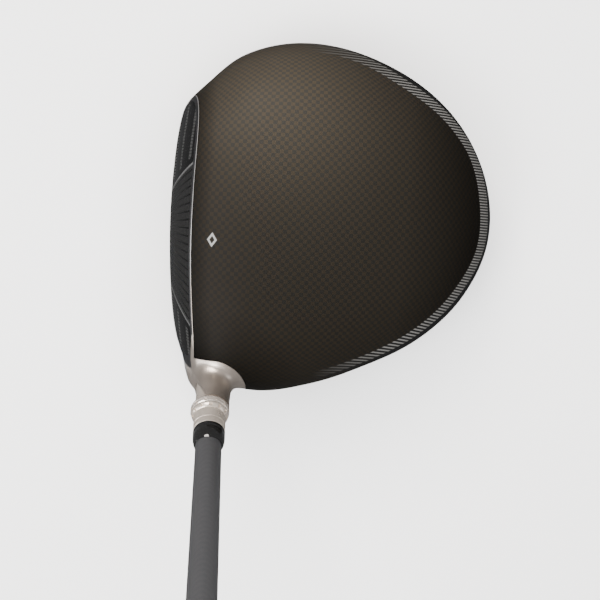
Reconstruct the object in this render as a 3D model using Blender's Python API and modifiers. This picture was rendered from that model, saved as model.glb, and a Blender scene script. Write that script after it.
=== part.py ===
"""Golf driver: hollow composite head, adjustable loft sleeve, graphite shaft and rubber grip.

Frame: metres, +Z up. The origin is the flat rest pad in the middle of the sole.
+X runs from the striking face to the back of the head, +Y from the heel to the toe,
so the shaft leans away over -Y to the golfer's hands.
"""
import bpy
import bmesh
import math
from mathutils import Matrix, Vector

# ---------------------------------------------------------------- driving dimensions
GAP = 0.0003                    # clearance between pieces that are glued, seated or screwed
CLUB_LENGTH = 1.162             # from the ground, along the shaft, to the end of the grip
SHAFT_LIE = math.radians(58.0)  # shaft above the ground
SLEEVE_ANGLE = math.radians(1.0)  # bend between the hosel's axis and the shaft's
LOFT = math.radians(9.0)

# head body
REACH_BACK = 0.0714             # middle of the head to its back rim
REACH_TOE = 0.0635              # middle of the head to its toe
CROWN_RISE = 0.0335             # rim up to the top of the crown
RIM_HEIGHT = 0.029              # rim above the ground
PAD_CUT = 0.00035               # the sole is cut this deep to give the flat rest pad
CROWN_POWER = 2.3               # fullness of the crown's curve at the back of the head
CROWN_BLUNT = 0.9               # how much fuller it is at the face
SOLE_POWER = 2.3
SOLE_BLUNT = 1.8
HOSEL_RAISE = 0.0090            # the crown swells up towards the hosel
HOSEL_RAISE_SPREAD = 0.017
FACE_MIDDLE = Vector((-0.042, 0.004, 0.031))
FACE_RADIUS = 0.305             # bulge and roll of the striking face
# outline of the head seen from above: angle from the back towards the toe, share of the reach
OUTLINE = (
    (-180, 0.672), (-160, 0.710), (-135, 0.870), (-120, 0.962), (-100, 0.970), (-80, 0.918),
    (-60, 0.886), (-40, 0.910), (-20, 0.957), (0, 1.000), (30, 1.006), (60, 0.999),
    (90, 0.999), (110, 0.954), (125, 0.876), (140, 0.836), (160, 0.710),
)

# walls and seams of the head
WALL = 0.0026                   # chassis and ring
CROWN_PANEL = 0.0010
SOLE_PANEL = 0.0012
FACE_LIP = 0.0008               # metal left around the face and ahead of the crown
COVER_THICKNESS = 0.0008
PLATE_THICKNESS = 0.0030
FACE_WALL = 0.0020              # metal frame behind the face plate
FACE_FRAME = 0.0080             # width of that frame
CROWN_SEAM = 0.031              # height of the crown panel's lower edge
SOLE_SEAM = 0.014               # height of the sole panel's upper edge
LEDGE = 0.006                   # ledge that a panel is glued on
CHASSIS_END = -0.008            # where the titanium chassis meets the rear ring
SOLE_LAP = 0.0020               # the sole panel laps this far over the chassis's end

# hosel, sleeve and its screw: places are distances along the hosel's axis from its rim
HOSEL_RIM = Vector((-0.0261, -0.0631, 0.0646))
HOSEL_RADIUS = 0.0065
SLEEVE_RADIUS = 0.0050
SLEEVE_CLEARANCE = 0.0002
BORE_WALL = 0.0006
NECK_SET_BACK = 0.0004          # the neck's flare stays this far behind the face
NECK_CORE_LENGTH = 0.0200       # the round neck above that isn't trimmed by the face
SLEEVE_DEPTH = 0.038            # length of the sleeve inside the hosel
RING_HEIGHT = 0.0023
FLANGE_HEIGHT = 0.0016
BARREL_TOP = 0.0107
BARREL_RADIUS = 0.0055
FERRULE_LENGTH = 0.0065
BEND_DEPTH = 0.012              # where the shaft's axis crosses the hosel's
SHAFT_DEPTH = 0.027             # shaft glued into the sleeve below the rim
SHOULDER_TOP = 0.0550           # metal shoulder in the hosel that the screw pulls on
SHOULDER_BOTTOM = 0.0605
PORT_RADIUS = 0.0052
SCREW_RADIUS = 0.0025
SCREW_HEAD_RADIUS = 0.0041
SCREW_HEAD_HEIGHT = 0.0040
SCREW_THREAD = 0.0100           # length screwed into the sleeve
WASHER_THICKNESS = 0.0015
RETAINER_LENGTH = 0.0030         # rubber collar round the screw's shank

# shaft and grip
TIP_RADIUS = 0.0043
GLUE = 0.00015                  # bond between shaft and sleeve
BUTT_RADIUS = 0.0076
SHAFT_WALL = 0.0011
GRIP_LENGTH = 0.268
GRIP_MOUTH_RADIUS = 0.0098
GRIP_END_RADIUS = 0.0133
PLUG_LENGTH = 0.013
PLUG_RISE = 0.001               # the tip plug starts this far above the shaft's lower end
TAPE_START = 0.006              # tape under the grip, from its mouth
TAPE_END = 0.002                # and short of the shaft's upper end
TAPE_THICKNESS = 0.0004
CAP_THICKNESS = 0.0040

# weights: both sit in round pockets and are held by a screw through the middle
FRONT_WEIGHT_PLACE = (-0.0175, 0.006)
FRONT_WEIGHT_RADIUS = 0.0062
FRONT_WEIGHT_LENGTH = 0.0042
REAR_WEIGHT_RADIUS = 0.0068
REAR_WEIGHT_LENGTH = 0.0060
REAR_WEIGHT_HEIGHT = 0.0215
REAR_WEIGHT_TILT = math.radians(25.0)
WEIGHT_SCREW_RADIUS = 0.0019
WEIGHT_SCREW_HEAD = 0.0034
WEIGHT_SCREW_LENGTH = 0.0052    # thread below the weight
BOSS_WALL = 0.0020

# slot insert in the front of the sole
SLOT_MIDDLE_X = -0.0290
SLOT_WIDTH = 0.0050
SLOT_HEEL = -0.012
SLOT_TOE = 0.040
SLOT_DEPTH = 0.0034

AROUND = 64                     # facets around the head
ROUND = 28                      # facets around small turned pieces


# ---------------------------------------------------------------- scene and materials
for old in list(bpy.data.objects):
    bpy.data.objects.remove(old, do_unlink=True)

parts = bpy.data.collections.new("golf_driver")
cutters = bpy.data.collections.new("golf_driver_cutters")
bpy.context.scene.collection.children.link(parts)
bpy.context.scene.collection.children.link(cutters)


def material(name, colour, roughness, metallic):
    """A plain Principled material for one sub-part."""
    made = bpy.data.materials.new(name)
    made.use_nodes = True
    shader = made.node_tree.nodes["Principled BSDF"]
    shader.inputs["Base Color"].default_value = (*colour, 1.0)
    shader.inputs["Roughness"].default_value = roughness
    shader.inputs["Metallic"].default_value = metallic
    return made


def add_object(name, mesh, place=None):
    """Put a mesh in the scene; pieces without a material are cutters."""
    made = bpy.data.objects.new(name, mesh)
    if place is not None:
        made.matrix_world = place
    cutters.objects.link(made)
    made.hide_render = True
    made.display_type = "WIRE"
    return made


def keep(piece, colour, roughness, metallic):
    """Make an object a real sub-part with its own material and smooth shading."""
    cutters.objects.unlink(piece)
    parts.objects.link(piece)
    piece.hide_render = False
    piece.display_type = "TEXTURED"
    piece.data.materials.clear()
    piece.data.materials.append(material(piece.name, colour, roughness, metallic))
    piece.data.shade_smooth()
    piece.data.set_sharp_from_angle(angle=math.radians(30.0))
    return piece


def combine(piece, other, operation):
    """Boolean of two solids, left live on the first."""
    made = piece.modifiers.new(operation.lower() + "_" + other.name, "BOOLEAN")
    made.operation = operation
    made.object = other
    made.solver = "EXACT"
    return piece


def clean(piece):
    """Join corners that two cuts left almost on top of each other, and split long faces."""
    made = piece.modifiers.new("clean", "WELD")
    made.merge_threshold = 0.00001
    piece.modifiers.new("split", "TRIANGULATE")
    return piece


# ---------------------------------------------------------------- shared shapes
def outline_share(angle):
    """Smooth closed curve through the outline's points (cubic, slopes from neighbours)."""
    count = len(OUTLINE)
    index = max(i for i in range(count) if OUTLINE[i][0] <= angle)

    def point(i):
        turns, left = divmod(i, count)
        return OUTLINE[left][0] + 360.0 * turns, OUTLINE[left][1]

    (a0, v0), (a1, v1), (a2, v2), (a3, v3) = (point(index + k) for k in (-1, 0, 1, 2))
    width = a2 - a1
    t = (angle - a1) / width
    slope1 = (v2 - v0) / (a2 - a0) * width
    slope2 = (v3 - v1) / (a3 - a1) * width
    return ((2 * t**3 - 3 * t**2 + 1) * v1 + (t**3 - 2 * t**2 + t) * slope1
            + (3 * t**2 - 2 * t**3) * v2 + (t**3 - t**2) * slope2)


def head_point(angle, climb, inset):
    """Point of the head's skin, moved in by inset. climb: -90 sole, 0 rim, 90 crown, degrees."""
    turn = math.radians(angle)
    ring = Vector((math.cos(turn), math.sin(turn)))
    reach = outline_share(angle) * math.hypot(REACH_BACK * ring.x, REACH_TOE * ring.y) - inset
    rise = math.radians(abs(climb))
    front = (1 - ring.x) / 2        # 0 at the back of the head, 1 at the face
    if climb >= 0:
        power = CROWN_POWER + CROWN_BLUNT * front
        height = CROWN_RISE - inset
    else:
        power = SOLE_POWER + SOLE_BLUNT * front**2
        height = -(RIM_HEIGHT + PAD_CUT - inset)
    share = max(math.cos(rise), 0.0) ** (2 / power)
    place = ring * (reach * share)
    up = RIM_HEIGHT + height * math.sin(rise) ** (2 / power)
    if climb > 0:
        away = (place - HOSEL_RIM.xy).length / HOSEL_RAISE_SPREAD
        up += HOSEL_RAISE * math.exp(-away**2 / 2) * min(2 * math.sin(rise), 1.0)
    return Vector((place.x, place.y, up))


CLIMBS = (-78, -66, -54, -42, -30, -18, -8, 0, 8, 17, 27, 38, 50, 62, 74)


def dome(name, inset):
    """Closed solid of the head's skin moved in by inset: a loft of rings between two poles."""
    bm = bmesh.new()
    rings = []
    for climb in CLIMBS:
        angles = [-180 + 360 * k / AROUND for k in range(AROUND)]
        rings.append([bm.verts.new(head_point(angle, climb, inset)) for angle in angles])
    bottom = bm.verts.new((0, 0, inset - PAD_CUT))
    top = bm.verts.new((0, 0, RIM_HEIGHT + CROWN_RISE - inset))
    for k in range(AROUND):
        after = (k + 1) % AROUND
        bm.faces.new((bottom, rings[0][after], rings[0][k]))
        bm.faces.new((top, rings[-1][k], rings[-1][after]))
        for low, high in zip(rings, rings[1:]):
            bm.faces.new((low[k], low[after], high[after], high[k]))
    bmesh.ops.recalc_face_normals(bm, faces=bm.faces)
    mesh = bpy.data.meshes.new(name)
    bm.to_mesh(mesh)
    bm.free()
    return add_object(name, mesh)


def face_block(name, behind):
    """Everything behind the striking face, whose curved front is moved back by behind."""
    bm = bmesh.new()
    bmesh.ops.create_grid(bm, x_segments=20, y_segments=12, size=0.5)
    block_end = REACH_BACK + 0.03
    for vert in bm.verts:
        across = vert.co.x * 0.20
        up = vert.co.y * 0.14
        sag = (across**2 + up**2) / (2 * FACE_RADIUS)
        vert.co = (FACE_MIDDLE.x + behind + sag + up * math.tan(LOFT),
                   FACE_MIDDLE.y + across, FACE_MIDDLE.z + up)
    walls = bmesh.ops.extrude_face_region(bm, geom=bm.faces[:])
    for item in walls["geom"]:
        if isinstance(item, bmesh.types.BMVert):
            item.co.x = block_end
    bmesh.ops.recalc_face_normals(bm, faces=bm.faces)
    mesh = bpy.data.meshes.new(name)
    bm.to_mesh(mesh)
    bm.free()
    return add_object(name, mesh)


def box(name, low, high):
    """Axis-aligned block between two corners."""
    bm = bmesh.new()
    bmesh.ops.create_cube(bm, size=1.0)
    low, high = Vector(low), Vector(high)
    size = high - low
    bmesh.ops.scale(bm, vec=size, verts=bm.verts)
    bmesh.ops.translate(bm, vec=(low + high) / 2, verts=bm.verts)
    mesh = bpy.data.meshes.new(name)
    bm.to_mesh(mesh)
    bm.free()
    return add_object(name, mesh)


def cylinder(name, place, radius, start, end, sides=ROUND):
    """Cylinder along the local Z of place, from start to end."""
    bm = bmesh.new()
    bmesh.ops.create_cone(bm, cap_ends=True, segments=sides, radius1=radius, radius2=radius,
                          depth=end - start)
    bmesh.ops.translate(bm, vec=(0, 0, (start + end) / 2), verts=bm.verts)
    mesh = bpy.data.meshes.new(name)
    bm.to_mesh(mesh)
    bm.free()
    return add_object(name, mesh, place)


def turned(name, place, outer, inner=None, steps=ROUND):
    """Turned piece about the local Z of place. outer and inner are (radius, height) lists
    from the top down; without inner the piece is solid and outer starts and ends on the axis."""
    points = [(radius, 0.0, height) for radius, height in outer]
    if inner:
        points += [(radius, 0.0, height) for radius, height in reversed(inner)]
    edges = [(k, k + 1) for k in range(len(points) - 1)]
    if inner:
        edges.append((len(points) - 1, 0))
    mesh = bpy.data.meshes.new(name)
    mesh.from_pydata(points, edges, [])
    made = add_object(name, mesh, place)
    screw = made.modifiers.new("turn", "SCREW")
    screw.steps = steps
    screw.render_steps = steps
    screw.use_smooth_shade = True
    screw.use_merge_vertices = True
    screw.merge_threshold = 0.00002
    return made


def frame_along(start, direction):
    """Matrix whose local Z runs along direction from start, with local X kept near world X."""
    z_axis = direction.normalized()
    x_axis = (Vector((1, 0, 0)) - z_axis * z_axis.x)
    if x_axis.length < 0.5:
        x_axis = Vector((0, 1, 0))
    x_axis.normalize()
    y_axis = z_axis.cross(x_axis)
    turn = Matrix((x_axis, y_axis, z_axis)).transposed().to_4x4()
    return Matrix.Translation(start) @ turn


# ---------------------------------------------------------------- axes
hosel_lie = SHAFT_LIE + SLEEVE_ANGLE
hosel_up = Vector((0, -math.cos(hosel_lie), math.sin(hosel_lie)))
hosel = frame_along(HOSEL_RIM, hosel_up)
shaft_up = Vector((0, -math.cos(SHAFT_LIE), math.sin(SHAFT_LIE)))
bend_point = HOSEL_RIM - hosel_up * BEND_DEPTH
shaft_axis = frame_along(bend_point, shaft_up)
ground_to_bend = bend_point.z / math.sin(SHAFT_LIE)
butt = CLUB_LENGTH - ground_to_bend
front_port = frame_along(Vector((*FRONT_WEIGHT_PLACE, 0.0)), Vector((0, 0, -1)))
rear_out = Vector((math.cos(REAR_WEIGHT_TILT), 0, -math.sin(REAR_WEIGHT_TILT)))
# the skin's depth at the rear port, from the sole's curve at that height
rear_drop = (RIM_HEIGHT - REAR_WEIGHT_HEIGHT) / (RIM_HEIGHT + PAD_CUT)
rear_skin = REACH_BACK * (1 - rear_drop**SOLE_POWER) ** (1 / SOLE_POWER)
rear_port = frame_along(Vector((rear_skin, 0, REAR_WEIGHT_HEIGHT)), rear_out)

# ---------------------------------------------------------------- cutters for the head
far = 0.2
body_front = face_block("face_front", 0.0)
cavity_skin = dome("cavity_skin", WALL)
plate_depth = COVER_THICKNESS + PLATE_THICKNESS + 2 * GAP
cavity_front = face_block("cavity_front", plate_depth + FACE_WALL)
cavity = combine(cavity_skin, cavity_front, "INTERSECT")

crown_cut_radius = 0.0124
crown_cut_place = Matrix.Translation((HOSEL_RIM.x, HOSEL_RIM.y + 0.0030, 0))


def crown_region(name, grow, deep):
    """Space of the crown panel: above its seam, behind the lip, clear of the hosel."""
    region = box(name, (-far, -far, CROWN_SEAM - grow), (far, far, far))
    front = face_block(name + "_front", 2 * FACE_LIP + CROWN_PANEL - grow)
    floor = dome(name + "_floor", deep)
    hole = cylinder(name + "_hosel", crown_cut_place, crown_cut_radius - grow, -far, far)
    toe_side = crown_cut_place.translation.y + crown_cut_radius - grow
    heel_corner = box(name + "_heel", (-far, -far, -far), (HOSEL_RIM.x, toe_side - 0.0002, far))
    combine(hole, heel_corner, "UNION")
    combine(region, front, "INTERSECT")
    combine(region, floor, "DIFFERENCE")
    combine(region, hole, "DIFFERENCE")
    return region


def sole_region(name, grow, deep):
    """Space of the sole panel: below its seam, behind the chassis, clear of the rear weight."""
    region = box(name, (CHASSIS_END - SOLE_LAP - grow, -far, -far), (far, far, SOLE_SEAM + grow))
    floor = dome(name + "_floor", deep)
    port_radius = REAR_WEIGHT_RADIUS + BOSS_WALL + 2 * GAP - grow
    hole = cylinder(name + "_port", rear_port, port_radius, -0.02, 0.02)
    combine(region, floor, "DIFFERENCE")
    combine(region, hole, "DIFFERENCE")
    return region


crown_space = crown_region("crown_space", 0.0, CROWN_PANEL)
crown_recess = crown_region("crown_recess", GAP, CROWN_PANEL + GAP)
sole_space = sole_region("sole_space", 0.0, SOLE_PANEL)
sole_recess = sole_region("sole_recess", GAP, SOLE_PANEL + GAP)
under_ground = box("under_ground", (-far, -far, -far), (far, far, 0.0))

# ---------------------------------------------------------------- crown and sole panels
crown_panel = combine(dome("crown_panel", 0.0), crown_space, "INTERSECT")
keep(crown_panel, (0.045, 0.038, 0.030), 0.35, 0.0)

sole_panel = combine(dome("sole_panel", 0.0), sole_space, "INTERSECT")
combine(sole_panel, under_ground, "DIFFERENCE")
keep(sole_panel, (0.030, 0.030, 0.032), 0.35, 0.0)

# ---------------------------------------------------------------- rear ring with its port
ring_zone = box("ring_zone", (CHASSIS_END + GAP, -far, SOLE_SEAM - LEDGE),
                (far, far, CROWN_SEAM + LEDGE))
skirt_ring = combine(dome("skirt_ring", 0.0), ring_zone, "INTERSECT")
combine(skirt_ring, dome("ring_cavity", WALL), "DIFFERENCE")
boss_radius = REAR_WEIGHT_RADIUS + BOSS_WALL + GAP
boss_length = REAR_WEIGHT_LENGTH + WEIGHT_SCREW_LENGTH + BOSS_WALL + 4 * GAP
rear_boss = cylinder("rear_boss", rear_port, boss_radius, -boss_length, 0.02)
combine(rear_boss, dome("rear_boss_skin", 0.0001), "INTERSECT")
combine(skirt_ring, rear_boss, "UNION")
combine(skirt_ring, crown_recess, "DIFFERENCE")
combine(skirt_ring, sole_recess, "DIFFERENCE")
clean(skirt_ring)
rear_floor = -(REAR_WEIGHT_LENGTH + 3 * GAP)
rear_pocket = cylinder("rear_pocket", rear_port, REAR_WEIGHT_RADIUS + GAP, rear_floor, 0.02)
combine(skirt_ring, rear_pocket, "DIFFERENCE")
rear_thread_end = rear_floor - WEIGHT_SCREW_LENGTH - GAP
rear_thread = cylinder("rear_thread", rear_port, WEIGHT_SCREW_RADIUS + GAP,
                       rear_thread_end, rear_floor + GAP)
combine(skirt_ring, rear_thread, "DIFFERENCE")
keep(skirt_ring, (0.09, 0.09, 0.095), 0.35, 1.0)

# ---------------------------------------------------------------- titanium chassis and hosel
head_chassis = combine(dome("head_chassis", 0.0), body_front, "INTERSECT")
combine(head_chassis, cavity, "DIFFERENCE")
behind = box("behind_chassis", (CHASSIS_END, -far, -far), (far, far, far))
combine(head_chassis, behind, "DIFFERENCE")

# ledge that carries the front edge of the sole panel
sole_ledge = box("sole_ledge", (CHASSIS_END - 2 * SOLE_LAP, -far, -far),
                 (CHASSIS_END + LEDGE, far, SOLE_SEAM - LEDGE))
combine(sole_ledge, dome("sole_ledge_skin", SOLE_PANEL + 1.5 * GAP), "INTERSECT")
combine(sole_ledge, dome("sole_ledge_cavity", WALL + 0.0001), "DIFFERENCE")
combine(head_chassis, sole_ledge, "UNION")

# boss that the front weight screws into
front_boss_radius = FRONT_WEIGHT_RADIUS + BOSS_WALL + GAP
front_depth = 0.0012            # the front weight's face lies this far above the ground
front_floor = -(front_depth + FRONT_WEIGHT_LENGTH + GAP)
front_thread_end = front_floor - WEIGHT_SCREW_LENGTH - GAP
front_boss = cylinder("front_boss", front_port, front_boss_radius, front_thread_end - BOSS_WALL,
                      0.01)
combine(front_boss, dome("front_boss_skin", 0.0001), "INTERSECT")
combine(head_chassis, front_boss, "UNION")

# hosel: the bore tube inside the head, and the flared neck that grows out of it
bore_radius = SLEEVE_RADIUS + SLEEVE_CLEARANCE
tube_inside = cylinder("hosel_tube", hosel, bore_radius + BORE_WALL, -0.10, -0.030)
combine(tube_inside, dome("hosel_tube_skin", 0.0001), "INTERSECT")
neck_down = ((0.0, 0.0), (0.004, 0.0), (0.009, 0.0004), (0.014, 0.0017), (0.019, 0.0040),
             (0.0235, 0.0068), (0.028, 0.0090), (0.033, 0.0092), (0.038, 0.0070),
             (0.043, 0.0030))
neck = [(0.0, 0.0)] + [(HOSEL_RADIUS + flare, -down) for down, flare in neck_down]
neck.append((0.0, -neck_down[-1][0]))
hosel_neck = turned("hosel_neck", hosel, neck, steps=32)
neck_space = face_block("neck_front", NECK_SET_BACK)
neck_core = cylinder("neck_core", hosel, HOSEL_RADIUS + 0.0001, -NECK_CORE_LENGTH, 0.01)
combine(neck_space, neck_core, "UNION")
combine(hosel_neck, neck_space, "INTERSECT")
combine(head_chassis, tube_inside, "UNION")
combine(head_chassis, hosel_neck, "UNION")

# recesses of the two panels and the front weight's pocket
combine(head_chassis, crown_recess, "DIFFERENCE")
combine(head_chassis, sole_recess, "DIFFERENCE")
clean(head_chassis)
front_pocket = cylinder("front_pocket", front_port, FRONT_WEIGHT_RADIUS + GAP, front_floor, 0.01)
front_thread = cylinder("front_thread", front_port, WEIGHT_SCREW_RADIUS + GAP,
                        front_thread_end, front_floor + GAP)
combine(head_chassis, front_pocket, "DIFFERENCE")
combine(head_chassis, front_thread, "DIFFERENCE")

# window under the crown panel, with the ledge left around it
window = box("crown_window", (-far, -far, CROWN_SEAM + LEDGE), (far, far, far))
combine(window, face_block("window_front", plate_depth + FACE_WALL + LEDGE), "INTERSECT")
combine(window, cylinder("window_hosel", crown_cut_place, crown_cut_radius + LEDGE, -far, far),
        "DIFFERENCE")
combine(head_chassis, window, "DIFFERENCE")

# seat of the face plate and its cover, open through the frame behind them
face_seat = dome("face_seat", FACE_LIP)
seat_back = face_block("seat_back", plate_depth)
combine(face_seat, seat_back, "DIFFERENCE")
hosel_wall = bore_radius + 2 * BORE_WALL
combine(face_seat, cylinder("seat_hosel", hosel, hosel_wall, -0.1, 0.02), "DIFFERENCE")
combine(head_chassis, face_seat, "DIFFERENCE")
frame_hole = dome("frame_hole", FACE_FRAME)
combine(frame_hole, face_block("frame_hole_back", plate_depth + FACE_WALL + 0.001), "DIFFERENCE")
combine(frame_hole, cylinder("frame_hosel", hosel, hosel_wall + 0.001, -0.1, 0.02), "DIFFERENCE")
combine(head_chassis, frame_hole, "DIFFERENCE")

# slot in the sole, and the three bores of the hosel
slot = box("sole_slot", (SLOT_MIDDLE_X - SLOT_WIDTH / 2, SLOT_HEEL, -0.01),
           (SLOT_MIDDLE_X + SLOT_WIDTH / 2, SLOT_TOE, 0.022))
combine(head_chassis, slot, "DIFFERENCE")
sleeve_bore = cylinder("sleeve_bore", hosel, bore_radius, -SHOULDER_TOP, 0.02)
shank_hole = cylinder("shank_hole", hosel, SCREW_RADIUS + GAP, -SHOULDER_BOTTOM - 0.001,
                      -SHOULDER_TOP + 0.001)
screw_port = cylinder("screw_port", hosel, PORT_RADIUS, -0.12, -SHOULDER_BOTTOM)
combine(head_chassis, sleeve_bore, "DIFFERENCE")
combine(head_chassis, shank_hole, "DIFFERENCE")
combine(head_chassis, screw_port, "DIFFERENCE")
combine(head_chassis, under_ground, "DIFFERENCE")
keep(head_chassis, (0.52, 0.47, 0.42), 0.28, 1.0)

# ---------------------------------------------------------------- slot insert
slot_insert = box("slot_insert",
                  (SLOT_MIDDLE_X - SLOT_WIDTH / 2 + GAP, SLOT_HEEL + GAP, -0.01),
                  (SLOT_MIDDLE_X + SLOT_WIDTH / 2 - GAP, SLOT_TOE - GAP, 0.022))
combine(slot_insert, dome("insert_skin", 0.0004), "INTERSECT")
combine(slot_insert, dome("insert_top", SLOT_DEPTH), "DIFFERENCE")
keep(slot_insert, (0.30, 0.05, 0.04), 0.55, 0.0)

# ---------------------------------------------------------------- face plate and cover
face_plate = combine(dome("face_plate", FACE_LIP + GAP),
                     face_block("plate_front", COVER_THICKNESS + GAP), "INTERSECT")
combine(face_plate, face_block("plate_back", plate_depth - GAP), "DIFFERENCE")
insert_hosel = cylinder("insert_hosel", hosel, hosel_wall + GAP, -0.1, 0.02)
combine(face_plate, insert_hosel, "DIFFERENCE")
keep(face_plate, (0.02, 0.02, 0.022), 0.3, 0.0)

face_cover = combine(dome("face_cover", FACE_LIP + GAP),
                     face_block("cover_front", 0.0), "INTERSECT")
combine(face_cover, face_block("cover_back", COVER_THICKNESS), "DIFFERENCE")
combine(face_cover, insert_hosel, "DIFFERENCE")
keep(face_cover, (0.008, 0.008, 0.009), 0.12, 0.0)

# ---------------------------------------------------------------- weights and their screws
screw_head_height = 0.0022


def weight(name, port, top, length, radius, colour):
    """Round weight with a counterbored hole; its outer face is at height top of the port."""
    bore = WEIGHT_SCREW_RADIUS + GAP
    sink = WEIGHT_SCREW_HEAD + GAP
    floor = top - screw_head_height - 0.0005
    outer = [(radius - 0.0004, top), (radius, top - 0.0004), (radius, top - length)]
    inner = [(sink, top), (sink, floor), (bore, floor), (bore, top - length)]
    return keep(turned(name, port, outer, inner), colour, 0.35, 1.0)


def screw(name, place, head_top, head_radius, head_height, radius, length, socket, colour):
    """Headed screw with a hexagonal driver socket; the head's top is at head_top."""
    under = head_top - head_height
    outer = [(0, head_top), (head_radius - 0.0003, head_top), (head_radius, head_top - 0.0003),
             (head_radius, under), (radius, under), (radius, under - length + 0.0006),
             (radius - 0.0006, under - length), (0, under - length)]
    made = turned(name, place, outer, steps=24)
    drive = cylinder(name + "_socket", place, socket, head_top - head_height * 0.6,
                     head_top + 0.01, sides=6)
    combine(made, drive, "DIFFERENCE")
    return keep(made, colour, 0.3, 1.0)


steel = (0.55, 0.55, 0.57)
front_top = -front_depth
weight("front_weight", front_port, front_top, FRONT_WEIGHT_LENGTH, FRONT_WEIGHT_RADIUS,
       (0.35, 0.35, 0.37))
front_seat = FRONT_WEIGHT_LENGTH - screw_head_height - 0.0005
screw("front_weight_screw", front_port, front_top - 0.0005 + GAP, WEIGHT_SCREW_HEAD,
      screw_head_height, WEIGHT_SCREW_RADIUS, front_seat + WEIGHT_SCREW_LENGTH - GAP, 0.0016, steel)

rear_top = -2 * GAP
weight("rear_weight", rear_port, rear_top, REAR_WEIGHT_LENGTH, REAR_WEIGHT_RADIUS,
       (0.40, 0.40, 0.42))
rear_seat = REAR_WEIGHT_LENGTH - screw_head_height - 0.0005
screw("rear_weight_screw", rear_port, rear_top - 0.0005 + GAP, WEIGHT_SCREW_HEAD,
      screw_head_height, WEIGHT_SCREW_RADIUS, rear_seat + WEIGHT_SCREW_LENGTH - GAP, 0.0016, steel)

# ---------------------------------------------------------------- loft sleeve and what holds it
flange_base = RING_HEIGHT + 2 * GAP
flange_top = flange_base + FLANGE_HEIGHT
sleeve_profile = [(0, flange_top), (BARREL_RADIUS - 0.0002, flange_top),
                  (HOSEL_RADIUS - 0.0003, flange_base + 0.0005),
                  (HOSEL_RADIUS - 0.0003, flange_base), (SLEEVE_RADIUS, flange_base),
                  (SLEEVE_RADIUS, -SLEEVE_DEPTH + 0.0006),
                  (SLEEVE_RADIUS - 0.0006, -SLEEVE_DEPTH), (0, -SLEEVE_DEPTH)]
loft_sleeve = turned("loft_sleeve", hosel, sleeve_profile)
barrel_profile = [(0, BARREL_TOP + BEND_DEPTH), (BARREL_RADIUS - 0.0003, BARREL_TOP + BEND_DEPTH),
                  (BARREL_RADIUS, flange_base + BEND_DEPTH + 0.0004),
                  (0, flange_base + BEND_DEPTH + 0.0004)]
combine(loft_sleeve, turned("sleeve_barrel", shaft_axis, barrel_profile), "UNION")
shaft_bottom = BEND_DEPTH - SHAFT_DEPTH
shaft_bore = cylinder("shaft_bore", shaft_axis, TIP_RADIUS + GLUE, shaft_bottom - GAP, 0.06)
combine(loft_sleeve, shaft_bore, "DIFFERENCE")
screw_bore = cylinder("screw_bore", hosel, SCREW_RADIUS + GAP, -SLEEVE_DEPTH - 0.01,
                      -SLEEVE_DEPTH + SCREW_THREAD - 2 * GAP)
combine(loft_sleeve, screw_bore, "DIFFERENCE")
keep(loft_sleeve, (0.60, 0.55, 0.48), 0.22, 1.0)

index_ring = turned(
    "index_ring", hosel,
    [(HOSEL_RADIUS - 0.0004, GAP + RING_HEIGHT), (HOSEL_RADIUS, GAP + RING_HEIGHT - 0.0005),
     (HOSEL_RADIUS, GAP + 0.0005), (HOSEL_RADIUS - 0.0004, GAP)],
    [(SLEEVE_RADIUS + SLEEVE_CLEARANCE, GAP + RING_HEIGHT),
     (SLEEVE_RADIUS + SLEEVE_CLEARANCE, GAP)])
keep(index_ring, (0.45, 0.41, 0.36), 0.3, 1.0)

ferrule_base = BARREL_TOP + BEND_DEPTH + GAP
ferrule_bore = TIP_RADIUS + GLUE
ferrule_end = ferrule_base + FERRULE_LENGTH
ferrule = turned(
    "ferrule", shaft_axis,
    [(ferrule_bore + 0.0001, ferrule_end), (BARREL_RADIUS - 0.0009, ferrule_end - 0.0007),
     (BARREL_RADIUS - 0.0004, ferrule_end - 0.0018), (BARREL_RADIUS - 0.0002, ferrule_end - 0.0034),
     (BARREL_RADIUS - 0.0003, ferrule_base)],
    [(ferrule_bore, ferrule_end), (ferrule_bore, ferrule_base)])
keep(ferrule, (0.01, 0.01, 0.01), 0.15, 0.0)

washer_top = -SHOULDER_BOTTOM - GAP
washer_bottom = washer_top - WASHER_THICKNESS
screw_washer = turned(
    "screw_washer", hosel,
    [(SCREW_HEAD_RADIUS + 0.0003, washer_top), (SCREW_HEAD_RADIUS + 0.0003, washer_bottom)],
    [(SCREW_RADIUS + GAP, washer_top), (SCREW_RADIUS + GAP, washer_bottom)])
keep(screw_washer, (0.5, 0.5, 0.5), 0.35, 1.0)

sleeve_screw_top = washer_bottom - GAP
screw_out = frame_along(HOSEL_RIM, -hosel_up)
shank_length = SHOULDER_BOTTOM - SLEEVE_DEPTH + SCREW_THREAD - 4 * GAP + (WASHER_THICKNESS + GAP)
screw("sleeve_screw", screw_out, -sleeve_screw_top + SCREW_HEAD_HEIGHT, SCREW_HEAD_RADIUS,
      SCREW_HEAD_HEIGHT, SCREW_RADIUS, shank_length, 0.0021, (0.25, 0.25, 0.27))

retainer_low = -SHOULDER_TOP + GAP
retainer_high = retainer_low + RETAINER_LENGTH
screw_retainer = turned(
    "screw_retainer", hosel,
    [(bore_radius - GAP, retainer_high), (bore_radius - GAP, retainer_low)],
    [(SCREW_RADIUS + GAP, retainer_high), (SCREW_RADIUS + GAP, retainer_low)])
keep(screw_retainer, (0.03, 0.03, 0.03), 0.7, 0.0)

# ---------------------------------------------------------------- shaft, tip plug and grip
taper_start = ferrule_end
grip_start = butt - CAP_THICKNESS - GRIP_LENGTH
shaft_end = butt - CAP_THICKNESS - GAP


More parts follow.
